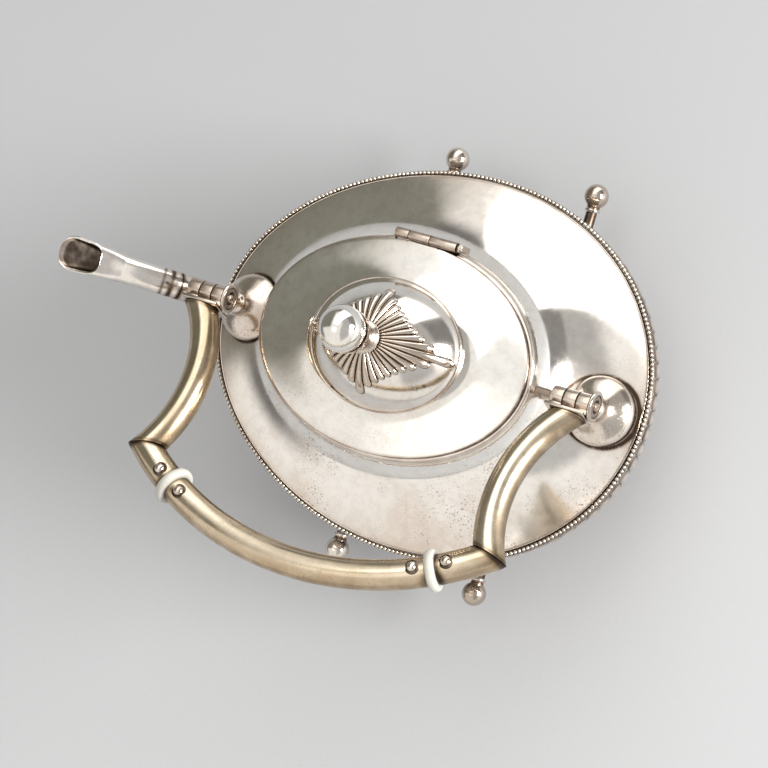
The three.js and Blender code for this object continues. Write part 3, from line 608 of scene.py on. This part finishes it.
def spout_parts():
    """The length below the seam and the length above it, each with its inner wall."""
    phi = angles(96)
    # Each line along the tube ends where it meets the level plane of the mouth.
    fine = np.linspace(0.6, 1.0, 700)
    past = spout_points(fine[:, None], phi, 0.0)[..., 2] > SPOUT_MOUTH_Z
    end = np.where(past.any(axis=0), fine[past.argmax(axis=0)], 1.0)[None, :]

    lower_t = np.linspace(0.03, SPOUT_SEAM - SEAM_GAP, 120)[:, None]
    points = np.concatenate([spout_points(lower_t, phi, 0.0), spout_points(lower_t[::-1], phi, 1.3)])
    dirt = np.full(points.shape[:2], 0.8)
    dirt[:len(lower_t)] = (bell(lower_t, SPOUT_SEAM, 0.012) * 0.7 + 0.35 * bell(lower_t, 0.50, 0.035)
                           + 0.10)
    lower = (*grid(points, wrap_rows=True), dirt)

    start = SPOUT_SEAM + SEAM_GAP
    share = np.linspace(0, 1, 150)[:, None]
    upper_t = start + (end - start) * share
    lips = []
    for shrink, rise in ((0.35, 0.25), (0.85, 0.05)):
        lip = spout_points(end, phi, shrink)
        lip[..., 2] = SPOUT_MOUTH_Z + rise
        lips.append(lip)
    inside = spout_points(start + (end - start) * np.linspace(1, 0, 90)[:, None], phi, 1.15)
    points = np.concatenate([spout_points(upper_t, phi, 0.0), *lips, inside])
    # A stain line at the seam, two painted reflection bands past it where the curve turns, and darkening
    # along the underside and the flanks.
    low_side = np.clip(-np.cos(phi), 0, 1)[None, :]
    painted_reflection_bands = 0.5 * bell(upper_t, 0.60, 0.012) + 0.35 * bell(upper_t, 0.635, 0.008)
    flanks = np.abs(np.sin(phi))[None, :] * (share < 0.8)
    dirt = np.zeros(points.shape[:2])
    dirt[:len(share)] = (bell(upper_t, SPOUT_SEAM, 0.012) * 0.8 + painted_reflection_bands * 1.6 + 0.55 * low_side**2
                         + 0.10 * flanks)
    inner_dirt = dirt[len(share) + len(lips):]
    inner_dirt[:] = 0.78
    inner_dirt[:3] = 0.45
    return [lower], [(*grid(points, wrap_rows=True), np.clip(dirt, 0, 1))]


# ---------------------------------------------------------------- bosses, posts, bolts, supports


def boss_parts(side):
    profile = rounded([(0, -6), (BOSS_R - 0.4, -6), (BOSS_R, 0.5)], 0.2)
    crown = bezier([(BOSS_R, 0.5), (13.9, 4.0), (8.2, 5.4), (5.4, 7.6)], 28)
    stem = bezier([(5.4, 7.6), (4.2, 8.6), (3.7, 9.6), (3.5, 11.4)], 12)
    profile = np.concatenate([profile, crown[1:], stem[1:], [(0, 11.4)]])
    axis = (side * math.sin(BOSS_TILT), 0, math.cos(BOSS_TILT))
    dirt = bell(profile[:, 0], BOSS_R, 0.30) * 0.9 + bell(profile[:, 0], 4.4, 1.3) * 0.5 + 0.07
    return [turned(profile, dirt, (side * BOSS_X, 0, BOSS_Z), axis, 96)]


def knuckle_shell(x0, x1, radius, bore, centre, dirty_ends=0.85, edge_round=0.28):
    profile = rounded([(bore, x0), (radius, x0), (radius, x1), (bore, x1)], edge_round, closed=True)
    edge = np.minimum(np.abs(profile[:, 1] - x0), np.abs(profile[:, 1] - x1))
    dirt = bell(edge, 0, edge_round * 0.8) * dirty_ends + 0.10
    return turned(profile, dirt, (0, *centre), X_AXIS, 56, wrap=True)


def post_parts(side):
    """Turned post with the middle knuckle of the handle's hinge and a ledge that stops the handle."""
    x = side * PIVOT_X
    half = KNUCKLE_L / 2
    foot = BOSS_Z + 10.6
    stem = rounded([(0, foot), (4.6, foot), (4.5, foot + 1.6), (3.3, foot + 3.0), (3.1, foot + 10),
                    (3.3, AXIS_Z - 8.6), (4.2, AXIS_Z - 7.4), (4.2, AXIS_Z - 6.4), (0, AXIS_Z - 6.2)], 0.7)
    return [
        turned(stem, bell(stem[:, 1], foot, 1.2) * 0.8 + 0.12, (x, 0, 0), UP_AXIS, 48),
        rounded_box((x - half, -9.3, AXIS_Z - 7.5), (x + half, 4.0, AXIS_Z - 5.1), 0.5, 0.15),
        rounded_box((x - half, -2.6, AXIS_Z - 7), (x + half, 2.6, AXIS_Z - 2.2), 0.3, 0.35),
        knuckle_shell(x - half, x + half, BARREL_R, 2.0, (0, AXIS_Z)),
    ]


def bolt_parts(side):
    """Pivot bolt with a dished disc head; the back bolt's plain end stands out further."""
    x = side * PIVOT_X
    half = KNUCKLE_L * 1.5 + GAP
    head = x + half + GAP
    tail = x - half - (8.0 if side > 0 else 1.4)
    profile = rounded([(0, tail), (1.35, tail), (1.6, tail + 0.5), (1.6, head), (6.2, head),
                       (6.45, head + 0.6), (6.1, head + 1.45), (4.9, head + 1.62), (4.5, head + 1.25),
                       (2.9, head + 1.35), (2.5, head + 0.95), (1.9, head + 0.95), (1.6, head + 1.9),
                       (0, head + 2.05)], 0.22)
    r, h = profile.T
    face = bell(r, 2.4, 0.5) + bell(r, 4.6, 0.3) * 0.8 + 0.30 * (r < 4.6)
    dirt = np.clip(np.where(h > head + 0.5, face, 0.5), 0, 1)
    return [turned(profile, dirt, (0, 0, AXIS_Z), X_AXIS, 64)]


def lug_rod_parts(x, side):
    profile = rounded([(0, 50), (LUG_ROD_R, 50), (LUG_ROD_R, LUG_ROD_END), (0, LUG_ROD_END)], 0.2)
    dirt = bell(profile[:, 1], LUG_ROD_END, 0.8) * 0.8 + 0.08
    return [turned(profile, dirt, (x, 0, LUG_Z), (0, side, 0), 40)]


def lug_ball_parts(x, side):
    start = LUG_ROD_END + GAP
    polar = np.linspace(0.60, math.pi, 30)
    ball = np.stack([LUG_BALL_R * np.sin(polar), LUG_BALL_Y - LUG_BALL_R * np.cos(polar)], -1)
    neck = rounded([(0, start), (3.25, start), (3.25, start + 0.7), (2.55, start + 1.5), ball[0]], 0.25)
    profile = np.concatenate([neck[:-1], ball])
    dirt = bell(profile[:, 1], start + 1.9, 0.7) * 0.8 + 0.05
    return [turned(profile, dirt, (x, 0, LUG_Z), (0, side, 0), 56)]


# ---------------------------------------------------------------- lid

LID_PLATE = [(LID_A - 0.5, LID_TOP_Z), (48, 95), (36.8, 94.6), (DOME_A + 0.4, DOME_Z)]


def lid_plate_parts():
    top = bezier(LID_PLATE, 80)
    edge_z = LID_TOP_Z - LID_EDGE_T
    edge = rounded([(LID_A - 1.2, edge_z), (LID_A, edge_z), (LID_A, LID_TOP_Z - 0.15), top[2]], 0.45)
    seat = [(DOME_A - 6, DOME_Z), (DOME_A - 6, DOME_Z - WALL)]
    under = bezier([(r - 0.6, z - WALL) for r, z in LID_PLATE], 40)[::-1]
    profile = np.concatenate([edge[:-1], top[2:], seat, under])
    radius, height = profile_arrays(profile)
    points = oval(radius, angles(540)[None, :], height)
    # A shallow straight recess for the hinge barrel in the lid's +Y edge.
    limit = HINGE_Y - HINGE_R - GAP
    inside = np.abs(points[..., 0] - HINGE_X) < HINGE_L / 2 + GAP
    points[..., 1] = np.where(inside & (points[..., 1] > limit), limit, points[..., 1])
    outside = len(edge) - 1 + len(top) - 2
    dirt = np.full(len(profile), 0.35)
    r = profile[:outside, 0]
    dirt[:outside] = (bell(r, LID_A, 0.5) * 0.45 + np.exp((r - LID_A) / 1.6) * 0.20
                      + bell(r, DOME_A + 0.4, 0.5) * 0.3 + np.exp((DOME_A - r) / 2.5) * 0.14)
    dirt[:2] = 0.9
    return [(*grid(points, wrap_rows=True), np.repeat(dirt, points.shape[1]))]


def bezel_parts():
    top = LID_TOP_Z - LID_EDGE_T - GAP - 0.1
    profile = rounded([(58.1, top - 4), (58.1, top), (57.0, top), (57.0, top - 4)], 0.3, closed=True)
    return [oval_shell(profile, 360, 0.35)]


def dome_height(r):
    return DOME_H * (1 - np.minimum(1, np.abs(r) / DOME_A) ** 2) ** 0.8


def dome_parts():
    bore = 2.3
    r = bore + (DOME_A - bore) * np.cos(np.linspace(0, math.pi / 2, 90))
    outside = np.stack([r, DOME_Z + GAP + dome_height(r)], -1)
    r = r[1:][::-1]
    inside = np.stack([np.maximum(r - 1.0, bore), DOME_Z + GAP + dome_height(r) - WALL], -1)
    # The foot's small moulding takes the place of the first six rows.
    start = 6
    foot = rounded([(DOME_A - 1.4, DOME_Z + 0.1), (DOME_A + 0.5, DOME_Z + 0.1), (DOME_A + 0.55, DOME_Z + 0.6),
                    (DOME_A + 0.15, DOME_Z + 1.0), (DOME_A - 0.25, DOME_Z + 0.85), outside[start]], 0.15)
    profile = np.concatenate([foot[:-1], outside[start:], inside])
    radius, height = profile_arrays(profile)
    points = dome_oval(radius, angles(360)[None, :], height)
    front = len(profile) - len(inside)
    dirt = np.full(len(profile), 0.35)
    dirt[:front] = (bell(profile[:front, 1], DOME_Z + 0.9, 0.2) * 0.25
                    + np.exp((DOME_Z - profile[:front, 1]) / 9.0) * 0.20)
    return [(*grid(points, wrap_rows=True), np.repeat(dirt, points.shape[1]))]


RIBS = 36
CALYX_X, CALYX_Y, CALYX_POWER, CALYX_BORE = 31.5, 26.2, 0.92, 6.0


def calyx_reach(angle):
    c, s = np.abs(np.cos(angle)) / CALYX_X, np.abs(np.sin(angle)) / CALYX_Y
    return (c**CALYX_POWER + s**CALYX_POWER) ** (-1 / CALYX_POWER)


def calyx_parts():
    """Reeds that fan out from the finial over the dome, each with a swollen round end."""
    parts = []
    rows, columns = 34, 15
    for rib in range(RIBS):
        middle = TAU * rib / RIBS
        reach = float(calyx_reach(np.array(middle))) + 0.7
        inner = CALYX_BORE + 0.6
        share = 1 - (1 - np.linspace(0, 1, rows)) ** 1.5
        span = reach - inner
        tip = 0.9 * reach * math.pi / RIBS / span
        cap = np.sqrt(np.clip(1 - (np.clip(share - 1 + tip, 0, None) / tip) ** 2, 0, 1))
        half = math.pi / RIBS * (0.90 + 0.09 * share) * cap
        w = np.linspace(-1, 1, columns)
        r = inner + span * share
        radius = np.repeat(r[:, None], columns, 1)
        turn = middle + half[:, None] * w[None, :]
        height_share = np.sqrt(np.clip(1 - w**2, 0, 1))[None, :]
        crown = (0.8 + 1.1 * share)[:, None]
        lift = crown * height_share * np.clip(cap, 0.05, 1)[:, None] ** 0.8
        base = DOME_Z + GAP + dome_height(radius) + 0.15
        points = dome_oval(radius, turn, base + lift)
        floor = dome_oval(radius, turn, base - 0.5)
        shell = np.concatenate([points, floor[:, ::-1]], axis=1)
        verts, faces = grid(shell)
        dirt = 1.05 * np.abs(w)[None, :] ** 8 + 0.34 * (1 - share[:, None])
        dirt = np.concatenate([dirt, np.ones_like(dirt)], axis=1)
        count = 2 * columns
        caps = [[row * count + k for k in range(count)] for row in (0, rows - 1)]
        parts.append((verts, faces.tolist() + caps, np.clip(dirt, 0, 1)))
    # Thin dark ground between the reeds.
    turn = angles(360)
    share = np.linspace(0, 1, 30)[:, None]
    reach = calyx_reach(turn)[None, :] - 1.3
    radius = CALYX_BORE - 1 + (reach - CALYX_BORE + 1) * share
    base = DOME_Z + GAP + dome_height(radius)
    top = dome_oval(radius, turn[None, :], base + 0.42)
    bottom = dome_oval(radius, turn[None, :], base + 0.10)
    verts, faces = grid(np.concatenate([top, bottom[::-1]]), wrap_rows=True)
    parts.append((verts, faces, np.full(len(verts), 0.97)))
    return parts


def collar_cup_parts():
    """Waisted cup under the finial's ball, with twelve petals."""
    foot = 121.0
    stem = bezier([(6.9, foot), (7.8, foot + 1.8), (5.2, foot + 2.2), (4.7, foot + 3.8)], 16)
    cup = bezier([(4.7, foot + 3.8), (4.6, foot + 8.0), (8.4, foot + 10.0), (8.9, foot + 15.2)], 36)
    seat = [(8.3, foot + 15.6), (7.4, foot + 15.0), (5.0, foot + 13.6), (0, foot + 12.8)]
    profile = np.concatenate([[(0, foot)], stem, cup[1:], seat])

    def share_up(height):
        return np.clip((height - foot - 4.5) / 9, 0, 1)

    def petal(turn):
        return np.abs(np.cos(turn * 6))

    def wave(height, turn):
        return 1 + share_up(height) * (0.055 * petal(turn) - 0.02) * (height < foot + 15.8)

    verts, faces, dirt = turned(profile, 0, (LID_X, 0, 0), UP_AXIS, 192, wave=wave)
    height = profile[:, 1][:, None]
    dirt = (0.75 * (1 - petal(angles(192)[None, :])) ** 4 * share_up(height)
            + 0.6 * bell(height, foot + 3.2, 0.9) + 0.8 * (height > foot + 15.3))
    return [(verts, faces, np.clip(dirt, 0, 1))]


def ball_parts():
    polar = np.linspace(0, math.pi, 72)
    profile = np.stack([BALL_R * np.sin(polar), BALL_Z + BALL_R * np.cos(polar)], -1)[::-1]
    dirt = bell(profile[:, 1], BALL_Z - 6.8, 1.6) * 0.7
    stud = rounded([(0, 111), (1.5, 111), (1.5, BALL_Z - 5), (0, BALL_Z - 5)], 0.3)
    return [turned(profile, dirt, (LID_X, 0, 0), UP_AXIS, 128),
            turned(stud, 0.4, (LID_X, 0, 0), UP_AXIS, 24)]


# ---------------------------------------------------------------- lid hinge

HINGE_START, HINGE_END = HINGE_X - HINGE_L / 2, HINGE_X + HINGE_L / 2
KNUCKLE_ENDS = ((0, HINGE_JOINTS[0] - HAIRLINE),
                (HINGE_JOINTS[0] + HAIRLINE, HINGE_JOINTS[1] - HAIRLINE),
                (HINGE_JOINTS[1] + HAIRLINE, HINGE_L))


def hinge_knuckle(index):
    x0, x1 = (HINGE_START + end for end in KNUCKLE_ENDS[index])
    verts, faces, dirt = knuckle_shell(x0, x1, HINGE_R, 0.8, (HINGE_Y, HINGE_Z), 0.9, 0.1)
    # The crown is worn bright, the flanks stay brown.
    flank = np.abs(verts[:, 1] - HINGE_Y) / HINGE_R
    return x0, x1, (verts, faces, np.clip(dirt + 0.30 * flank**2, 0, 1))


def lid_hinge_seat_parts():
    parts = [rounded_box((HINGE_START, 44.9, 80), (HINGE_END, 47.6, HINGE_Z - 2.45), 0.35, 0.30)]
    for index in (0, 2):
        x0, x1, shell = hinge_knuckle(index)
        parts += [shell, rounded_box((x0, 45.0, HINGE_Z - 2.7), (x1, 47.6, HINGE_Z - 0.6), 0.15, 0.40)]
    return parts


def lid_hinge_leaf_parts():
    x0, x1, shell = hinge_knuckle(1)
    foot_lo = (x0, HINGE_Y - HINGE_R, LID_TOP_Z - LID_EDGE_T)
    return [shell, rounded_box(foot_lo, (x1, HINGE_Y - 0.9, HINGE_Z), 0.15, 0.40)]


def lid_pin_parts():
    """Hinge pin with a knurled head on its +X end."""
    start, end = HINGE_START - 0.4, HINGE_END
    profile = rounded([(0, start), (0.7, start), (0.7, end + 0.1), (1.25, end + 0.15), (1.7, end + 0.6),
                       (1.75, end + 1.5), (1.3, end + 2.4), (0, end + 2.5)], 0.3)

    def knurl(along, turn):
        return 1 + 0.05 * np.cos(turn * 14) * (along > end + 0.3)

    dirt = bell(profile[:, 1], end + 0.1, 0.4) * 0.9 + 0.25
    return [turned(profile, dirt, (0, HINGE_Y, HINGE_Z), X_AXIS, 84, wave=knurl)]


# ---------------------------------------------------------------- handle

GRIP_CENTRE = np.array([0.0, GRIP_BEND - GRIP_REACH])
CORNER_Y = GRIP_CENTRE[1] - math.sqrt(GRIP_BEND**2 - CORNER_X**2)
CORNER = np.array([CORNER_X, CORNER_Y])


def arm_circle():
    chord = np.linalg.norm(ARM_TOP - CORNER)
    radius = chord**2 / (8 * ARM_SAG) + ARM_SAG / 2
    middle = (ARM_TOP + CORNER) / 2
    outward = np.array([ARM_TOP[1] - CORNER[1], -(ARM_TOP[0] - CORNER[0])]) / chord
    return middle + outward * (radius - ARM_SAG), radius


def cut_angle(centre, rho, point, normal, near):
    """Angle at which circles about a centre meet a line."""
    turn = math.atan2(normal[1], normal[0])
    reach = np.arccos(np.clip(np.dot(point - centre, normal) / rho, -1, 1))
    options = np.stack([turn + reach, turn - reach])
    gap = (options - near + math.pi) % TAU - math.pi
    best = np.take_along_axis(gap, np.abs(gap).argmin(axis=0)[None], axis=0)[0]
    return near + best


def bent_tube(centre, bend, start, end, rows, columns=64, chamfer=0.35):
    """Capped tube along an arc; start and end give the angle at which each line along it is cut."""
    phi = angles(columns)
    cap = [(0.0, 0.0), (0.0, TUBE_R - 1.0), (0.0, TUBE_R - chamfer), (chamfer, TUBE_R)]
    rings = [(0.0, pull, size) for pull, size in cap]
    rings += [(t, 0.0, TUBE_R) for t in np.linspace(0.02, 0.98, rows)]
    rings += [(1.0, -pull, size) for pull, size in cap[::-1]]
    # Both flanks are darkened: partly a brown tarnish film, partly painted shade, which leaves the crown as a
    # painted highlight strip.
    flanks = 0.44 * np.clip(np.cos(phi), 0, 1) ** 0.8 + 0.54 * np.clip(-np.cos(phi), 0, 1) ** 1.2
    points, dirt = [], []
    for t, pull, size in rings:
        rho = bend + size * np.cos(phi)
        a, b = start(rho), end(rho)
        turn = a + (b - a) * t + np.sign(b - a) * pull / bend
        points.append(np.stack([centre[0] + rho * np.cos(turn), centre[1] + rho * np.sin(turn),
                                size * np.sin(phi)], -1))
        close = min(t, 1 - t) * abs(float(np.mean(b - a))) * bend
        level = 0.75 * bell(close, 0, 1.7) if pull == 0 else 0.30
        inside_cap = size < TUBE_R - chamfer - 0.01
        dirt.append(np.full(columns, 0.85) if inside_cap else np.clip(level + flanks, 0, 1))
    return (*grid(np.array(points)), np.array(dirt))


def mirror(part, side):
    return (part[0] * (side, 1, 1), *part[1:])


def mitre_line(offset):
    normal = np.array([math.sin(MITRE_ANGLE), math.cos(MITRE_ANGLE)])
    return CORNER + normal * offset, normal


def arm_parts(side):
    centre, bend = arm_circle()
    top = np.array([0.0, -END_PLATE_S - END_PLATE_T - 0.05])
    near_top, near_end = (math.atan2(y - centre[1], x - centre[0]) % TAU for x, y in (ARM_TOP, CORNER))
    point, normal = mitre_line(0.08)
    part = bent_tube(centre, bend, lambda rho: cut_angle(centre, rho, top, np.array([0.0, 1.0]), near_top),
                     lambda rho: cut_angle(centre, rho, point, normal, near_end), 70)
    return [folded(mirror(part, side))]


def grip_turn(x):
    return -math.pi / 2 + math.asin(x / GRIP_BEND)


HALF_RING_X = (RING_T / 2 + 0.1) * math.cos(math.asin(RING_X / GRIP_BEND))


def corner_parts(side):
    point, normal = mitre_line(-0.08)
    start = grip_turn(RING_X + HALF_RING_X)
    part = bent_tube(GRIP_CENTRE, GRIP_BEND, lambda rho: start + 0 * rho,
                     lambda rho: cut_angle(GRIP_CENTRE, rho, point, normal, grip_turn(CORNER_X)), 22)
    return [folded(mirror(part, side))]


def grip_parts():
    start, end = grip_turn(-RING_X + HALF_RING_X), grip_turn(RING_X - HALF_RING_X)
    part = bent_tube(GRIP_CENTRE, GRIP_BEND, lambda rho: start + 0 * rho, lambda rho: end + 0 * rho, 110)
    return [folded(part)]


def along_grip(side, offset):
    turn = math.asin(RING_X / GRIP_BEND) + offset / GRIP_BEND
    x = side * GRIP_BEND * math.sin(turn)
    y = GRIP_CENTRE[1] - GRIP_BEND * math.cos(turn)
    return np.array([x, y, 0.0]), np.array([side * math.cos(turn), math.sin(turn), 0.0])


def insulator_parts(side):
    """Ivory disc with a spigot into the tube on either side of it."""
    half = RING_T / 2
    profile = rounded([(0, -8), (4.4, -8), (4.4, -half), (RING_R - 0.6, -half), (RING_R, -half * 0.35),
                       (RING_R, half * 0.35), (RING_R - 0.6, half), (4.4, half), (4.4, 8), (0, 8)],
                      0.7, steps=6)
    dirt = np.where(profile[:, 0] < TUBE_R + 0.5, 0.9, 0.0)
    return [folded(turned(profile, dirt, *along_grip(side, 0), 96))]


def pin_parts(side, offset):
    """Round-headed pin through the tube, in a small collar of dirt."""
    origin, _ = along_grip(side, offset)
    polar = np.linspace(0, math.pi / 2, 14)
    head = np.stack([2.05 * np.cos(polar), TUBE_R + 0.35 + 1.55 * np.sin(polar)], -1)
    profile = np.concatenate([[(0, 1.0), (0.9, 1.0), (0.9, TUBE_R - 0.2), (1.9, TUBE_R - 0.3)], head])
    skirt = rounded([(1.7, TUBE_R - 0.6), (3.0, TUBE_R - 0.75), (3.0, TUBE_R - 0.12),
                     (1.7, TUBE_R + 0.22)], 0.1, closed=True)
    dirt = bell(profile[:, 1], TUBE_R + 0.2, 0.45) * 0.9
    return [folded(turned(profile, dirt, origin, UP_AXIS, 40)),
            folded(turned(skirt, 0.85, origin, UP_AXIS, 40, wrap=True))]


def fitting_parts(side):
    """End plate of an arm with the two outer knuckles of the handle's hinge."""
    x = side * PIVOT_X
    half = KNUCKLE_L * 1.5 + GAP
    tall = TUBE_R + 0.45
    parts = [rounded_box((x - half, -END_PLATE_S - END_PLATE_T, -tall), (x + half, -END_PLATE_S, tall),
                         0.45, 0.10, 3)]
    for end in (-1, 1):
        x0, x1 = sorted((x + end * (KNUCKLE_L / 2 + GAP), x + end * half))
        parts.append(knuckle_shell(x0, x1, BARREL_R, 2.0, (0, 0)))
        parts.append(rounded_box((x0, -END_PLATE_S - 0.4, -2.6), (x1, -1.0, 2.6), 0.3, 0.25))
    return [folded(part) for part in parts]


# ---------------------------------------------------------------- pieces

SIDES = ((-1, "front"), (1, "back"))


def body_piece(name, parts, node, material=BODY_SILVER, **options):
    add_piece(name, parts, material, "pot", "body_silver", node, **options)


def lid_piece(name, parts, node, material=LID_SILVER, **options):
    add_piece(name, parts, material, "lid", "lid_silver", node, **options)


def handle_piece(name, parts, node, material=GRIP_SILVER):
    add_piece(name, parts, material, "handle", "handle_silver", node)


def fitting_piece(name, parts, node, body="pot"):
    add_piece(name, parts, FITTING_SILVER, body, "fitting_silver", node)


body_piece("bowl_gadrooned", gadrooned_bowl(), "lower_bowl", sharp=60)
body_piece("shoulder_cove", shoulder_parts(), "shoulder")
body_piece("rim_beads", bead_parts(), "bead_rim", BEAD_SILVER, sharp=60)
body_piece("neck_ring", collar_parts(), "neck_collar")
body_piece("foot_plate", base_parts(), "base_plate")
spout_lower, spout_upper = spout_parts()
body_piece("spout_root", spout_lower, "spout_lower", SPOUT_SILVER)
body_piece("spout_tip", spout_upper, "spout_upper", SPOUT_SILVER)

for side, end in SIDES:
    fitting_piece(f"boss_dome_{end}", boss_parts(side), f"boss_{end}")
    fitting_piece(f"post_stem_{end}", post_parts(side), f"post_{end}")
    fitting_piece(f"bolt_disc_{end}", bolt_parts(side), f"pivot_bolt_{end}")
    for flank, hand in ((-1, "right"), (1, "left")):
        place = f"{end}_{hand}"
        fitting_piece(f"support_rod_{place}", lug_rod_parts(LUG_X[end], flank), f"lug_rod_{place}")
        fitting_piece(f"support_ball_{place}", lug_ball_parts(LUG_X[end], flank), f"lug_ball_{place}")

lid_piece("lid_sheet", lid_plate_parts(), "lid_plate")
lid_piece("lid_flange", bezel_parts(), "lid_bezel")
lid_piece("lid_oval_dome", dome_parts(), "lid_dome")
lid_piece("calyx_reeds", calyx_parts(), "calyx", CALYX_SILVER, sharp=70)
lid_piece("finial_cup", collar_cup_parts(), "finial_collar", CALYX_SILVER)
lid_piece("finial_knob", ball_parts(), "finial_ball")
fitting_piece("hinge_seat", lid_hinge_seat_parts(), "lid_hinge_seat")
fitting_piece("hinge_leaf", lid_hinge_leaf_parts(), "lid_hinge_leaf", "lid")
fitting_piece("hinge_pin", lid_pin_parts(), "lid_hinge_pin")

handle_piece("grip_tube", grip_parts(), "grip_bar")
for side, end in SIDES:
    handle_piece(f"arm_tube_{end}", arm_parts(side), f"handle_arm_{end}", ARM_SILVER)
    handle_piece(f"corner_tube_{end}", corner_parts(side), f"handle_corner_{end}")
    fitting_piece(f"end_hinge_{end}", fitting_parts(side), f"handle_fitting_{end}", "handle")
    add_piece(f"insulator_ring_{end}", insulator_parts(side), IVORY, "handle", "ivory", f"insulator_{end}")
    for place, offset in (("inner", -PIN_OFFSET), ("outer", PIN_OFFSET)):
        fitting_piece(f"rivet_{end}_{place}", pin_parts(side, offset), f"insulator_pin_{end}_{place}",
                      "handle")

nut = frame["nodes"]["finial_nut"]
nut.data.materials.clear()
nut.data.materials.append(FITTING_SILVER)

# ---------------------------------------------------------------- floor


def floor_material():
    n = Nodes(bpy.data.materials.new("paper_floor"))
    fibres = n.noise(600.0, detail=3.0)
    # Painted light: the paper is paler towards -Y, standing in for more light falling on that end.
    colour = n.mix(n.ramp(n.along("Y"), -0.42, 0.40), (0.50, 0.510, 0.525), (0.395, 0.405, 0.420))
    colour = n.mix(n.ramp(n.noise(1.2, detail=2.0), 0.3, 0.7, 0.0, 0.05), colour, (0.30, 0.31, 0.33))
    colour = n.mix(n.ramp(fibres, 0.4, 0.7, 0.0, 0.10), colour, (0.38, 0.39, 0.40))
    return n.finished(Base_Color=colour, Roughness=0.75, Normal=n.bump(fibres, 0.08, 0.0002))


floor_mesh = bpy.data.meshes.new("floor")
floor_mesh.from_pydata([(-4, -4, 0), (4, -4, 0), (4, 4, 0), (-4, 4, 0)], [], [(0, 1, 2, 3)])
floor_mesh.materials.append(floor_material())
floor = bpy.data.objects.new("floor", floor_mesh)
bpy.context.scene.collection.objects.link(floor)

# ---------------------------------------------------------------- camera and lights

camera_data = bpy.data.cameras.new("camera")
camera_data.lens = 160.92
camera_data.sensor_width = 36.0
camera_data.clip_end = 20.0
camera = bpy.data.objects.new("camera", camera_data)
bpy.context.scene.collection.objects.link(camera)
RIGHT = (0.86854, 0.29592, -0.39758)
UP = (-0.26244, 0.95509, 0.13756)
BACKWARD = (0.42043, -0.01513, 0.90720)
EYE = (0.5815, -0.0360, 1.3471)
camera.matrix_world = Matrix((*zip(RIGHT, UP, BACKWARD, EYE), (0, 0, 0, 1)))
bpy.context.scene.camera = camera


panel = bpy.data.lights.new("key_panel", "AREA")
panel.shape = "RECTANGLE"
panel.size, panel.size_y = 0.9, 0.6
panel.energy = 62
panel.color = (1.0, 0.985, 0.96)
key_panel = bpy.data.objects.new("key_panel", panel)
bpy.context.scene.collection.objects.link(key_panel)
key_panel.location = (1.75, 0.40, 0.70)
toward_pot = Vector((0, 0, 0.05)) - Vector(key_panel.location)
key_panel.rotation_euler = toward_pot.to_track_quat("-Z", "Y").to_euler()


def studio_world():
    """A pale studio: a tall white panel on the +Y side, a dim corner towards -X +Y, soft grey elsewhere."""
    world = bpy.data.worlds.new("studio")
    bpy.context.scene.world = world
    n = Nodes(world, "Generated")

    def side(toward, low, high):
        """Mask that grows from 0 to 1 as a direction turns toward the given one."""
        sockets = {0: n.place, 1: Vector(toward).normalized()}
        dot = n.node("ShaderNodeVectorMath", sockets, operation="DOT_PRODUCT")
        return n.ramp(dot.outputs["Value"], low, high)

    def over(colour, paint, *masks):
        """Paints where all the masks meet."""
        cover = masks[0]
        for mask in masks[1:]:
            cover = n.math("MULTIPLY", cover, mask)
        return n.mix(cover, colour, paint)

    below, behind_pot = (0, 0, -1), (0, 1, 0)
    corner_left, corner_right = (-0.94, 0.34, 0), (0.94, -0.342, 0.017)
    colour = (0.96, 0.925, 0.885)
    # The dim lower part of the side towards -X +Y.
    colour = over(colour, (0.20, 0.19, 0.18), side(below, -0.42, -0.08), side(corner_left, 0.30, 0.65))
    # The ceiling, and a lamp in it.
    colour = over(colour, (1.02, 1.0, 0.97), side(UP_AXIS, 0.80, 0.93))
    colour = over(colour, (1.45, 1.42, 1.37), side((-0.168, -0.24, 0.956), 0.962, 0.985))
    # Grey high up on the +X side, with a round white panel under it at about eye height.
    colour = over(colour, (0.55, 0.54, 0.53), side(X_AXIS, 0.30, 0.42), side(UP_AXIS, 0.25, 0.45))
    colour = over(colour, (1.15, 1.13, 1.10), side((1, 0, 0.1), 0.90, 0.95))
    # A grey band towards +X +Y, darker near the horizon and below it.
    colour = over(colour, (0.50, 0.485, 0.465), side(corner_right, 0.0, 0.05),
                  side(behind_pot, 0.1, 0.2), side(below, -0.92, -0.75))
    colour = over(colour, (0.27, 0.26, 0.25), side(corner_right, 0.0, 0.05),
                  side(behind_pot, 0.2, 0.4), side(below, -0.50, -0.40))
    # The dark corner towards -X.
    colour = over(colour, (0.24, 0.235, 0.20), side((-1, 0, 0), 0.46, 0.54),
                  side((-0.259, 0.966, 0), -0.06, 0.10))
    # The tall white panel on the +Y side.
    colour = over(colour, (2.2, 2.17, 2.12), side((0.918, 0.224, 0.329), 0.0, 0.03),
                  side((-0.94, 0.342, -0.017), -0.03, 0.0), side(behind_pot, 0.12, 0.18))
    n.put(n.tree.nodes["Background"], {"Color": colour, "Strength": 1.0})


studio_world()

bpy.context.scene.view_settings.view_transform = "Standard"
bpy.context.scene.view_settings.look = "None"
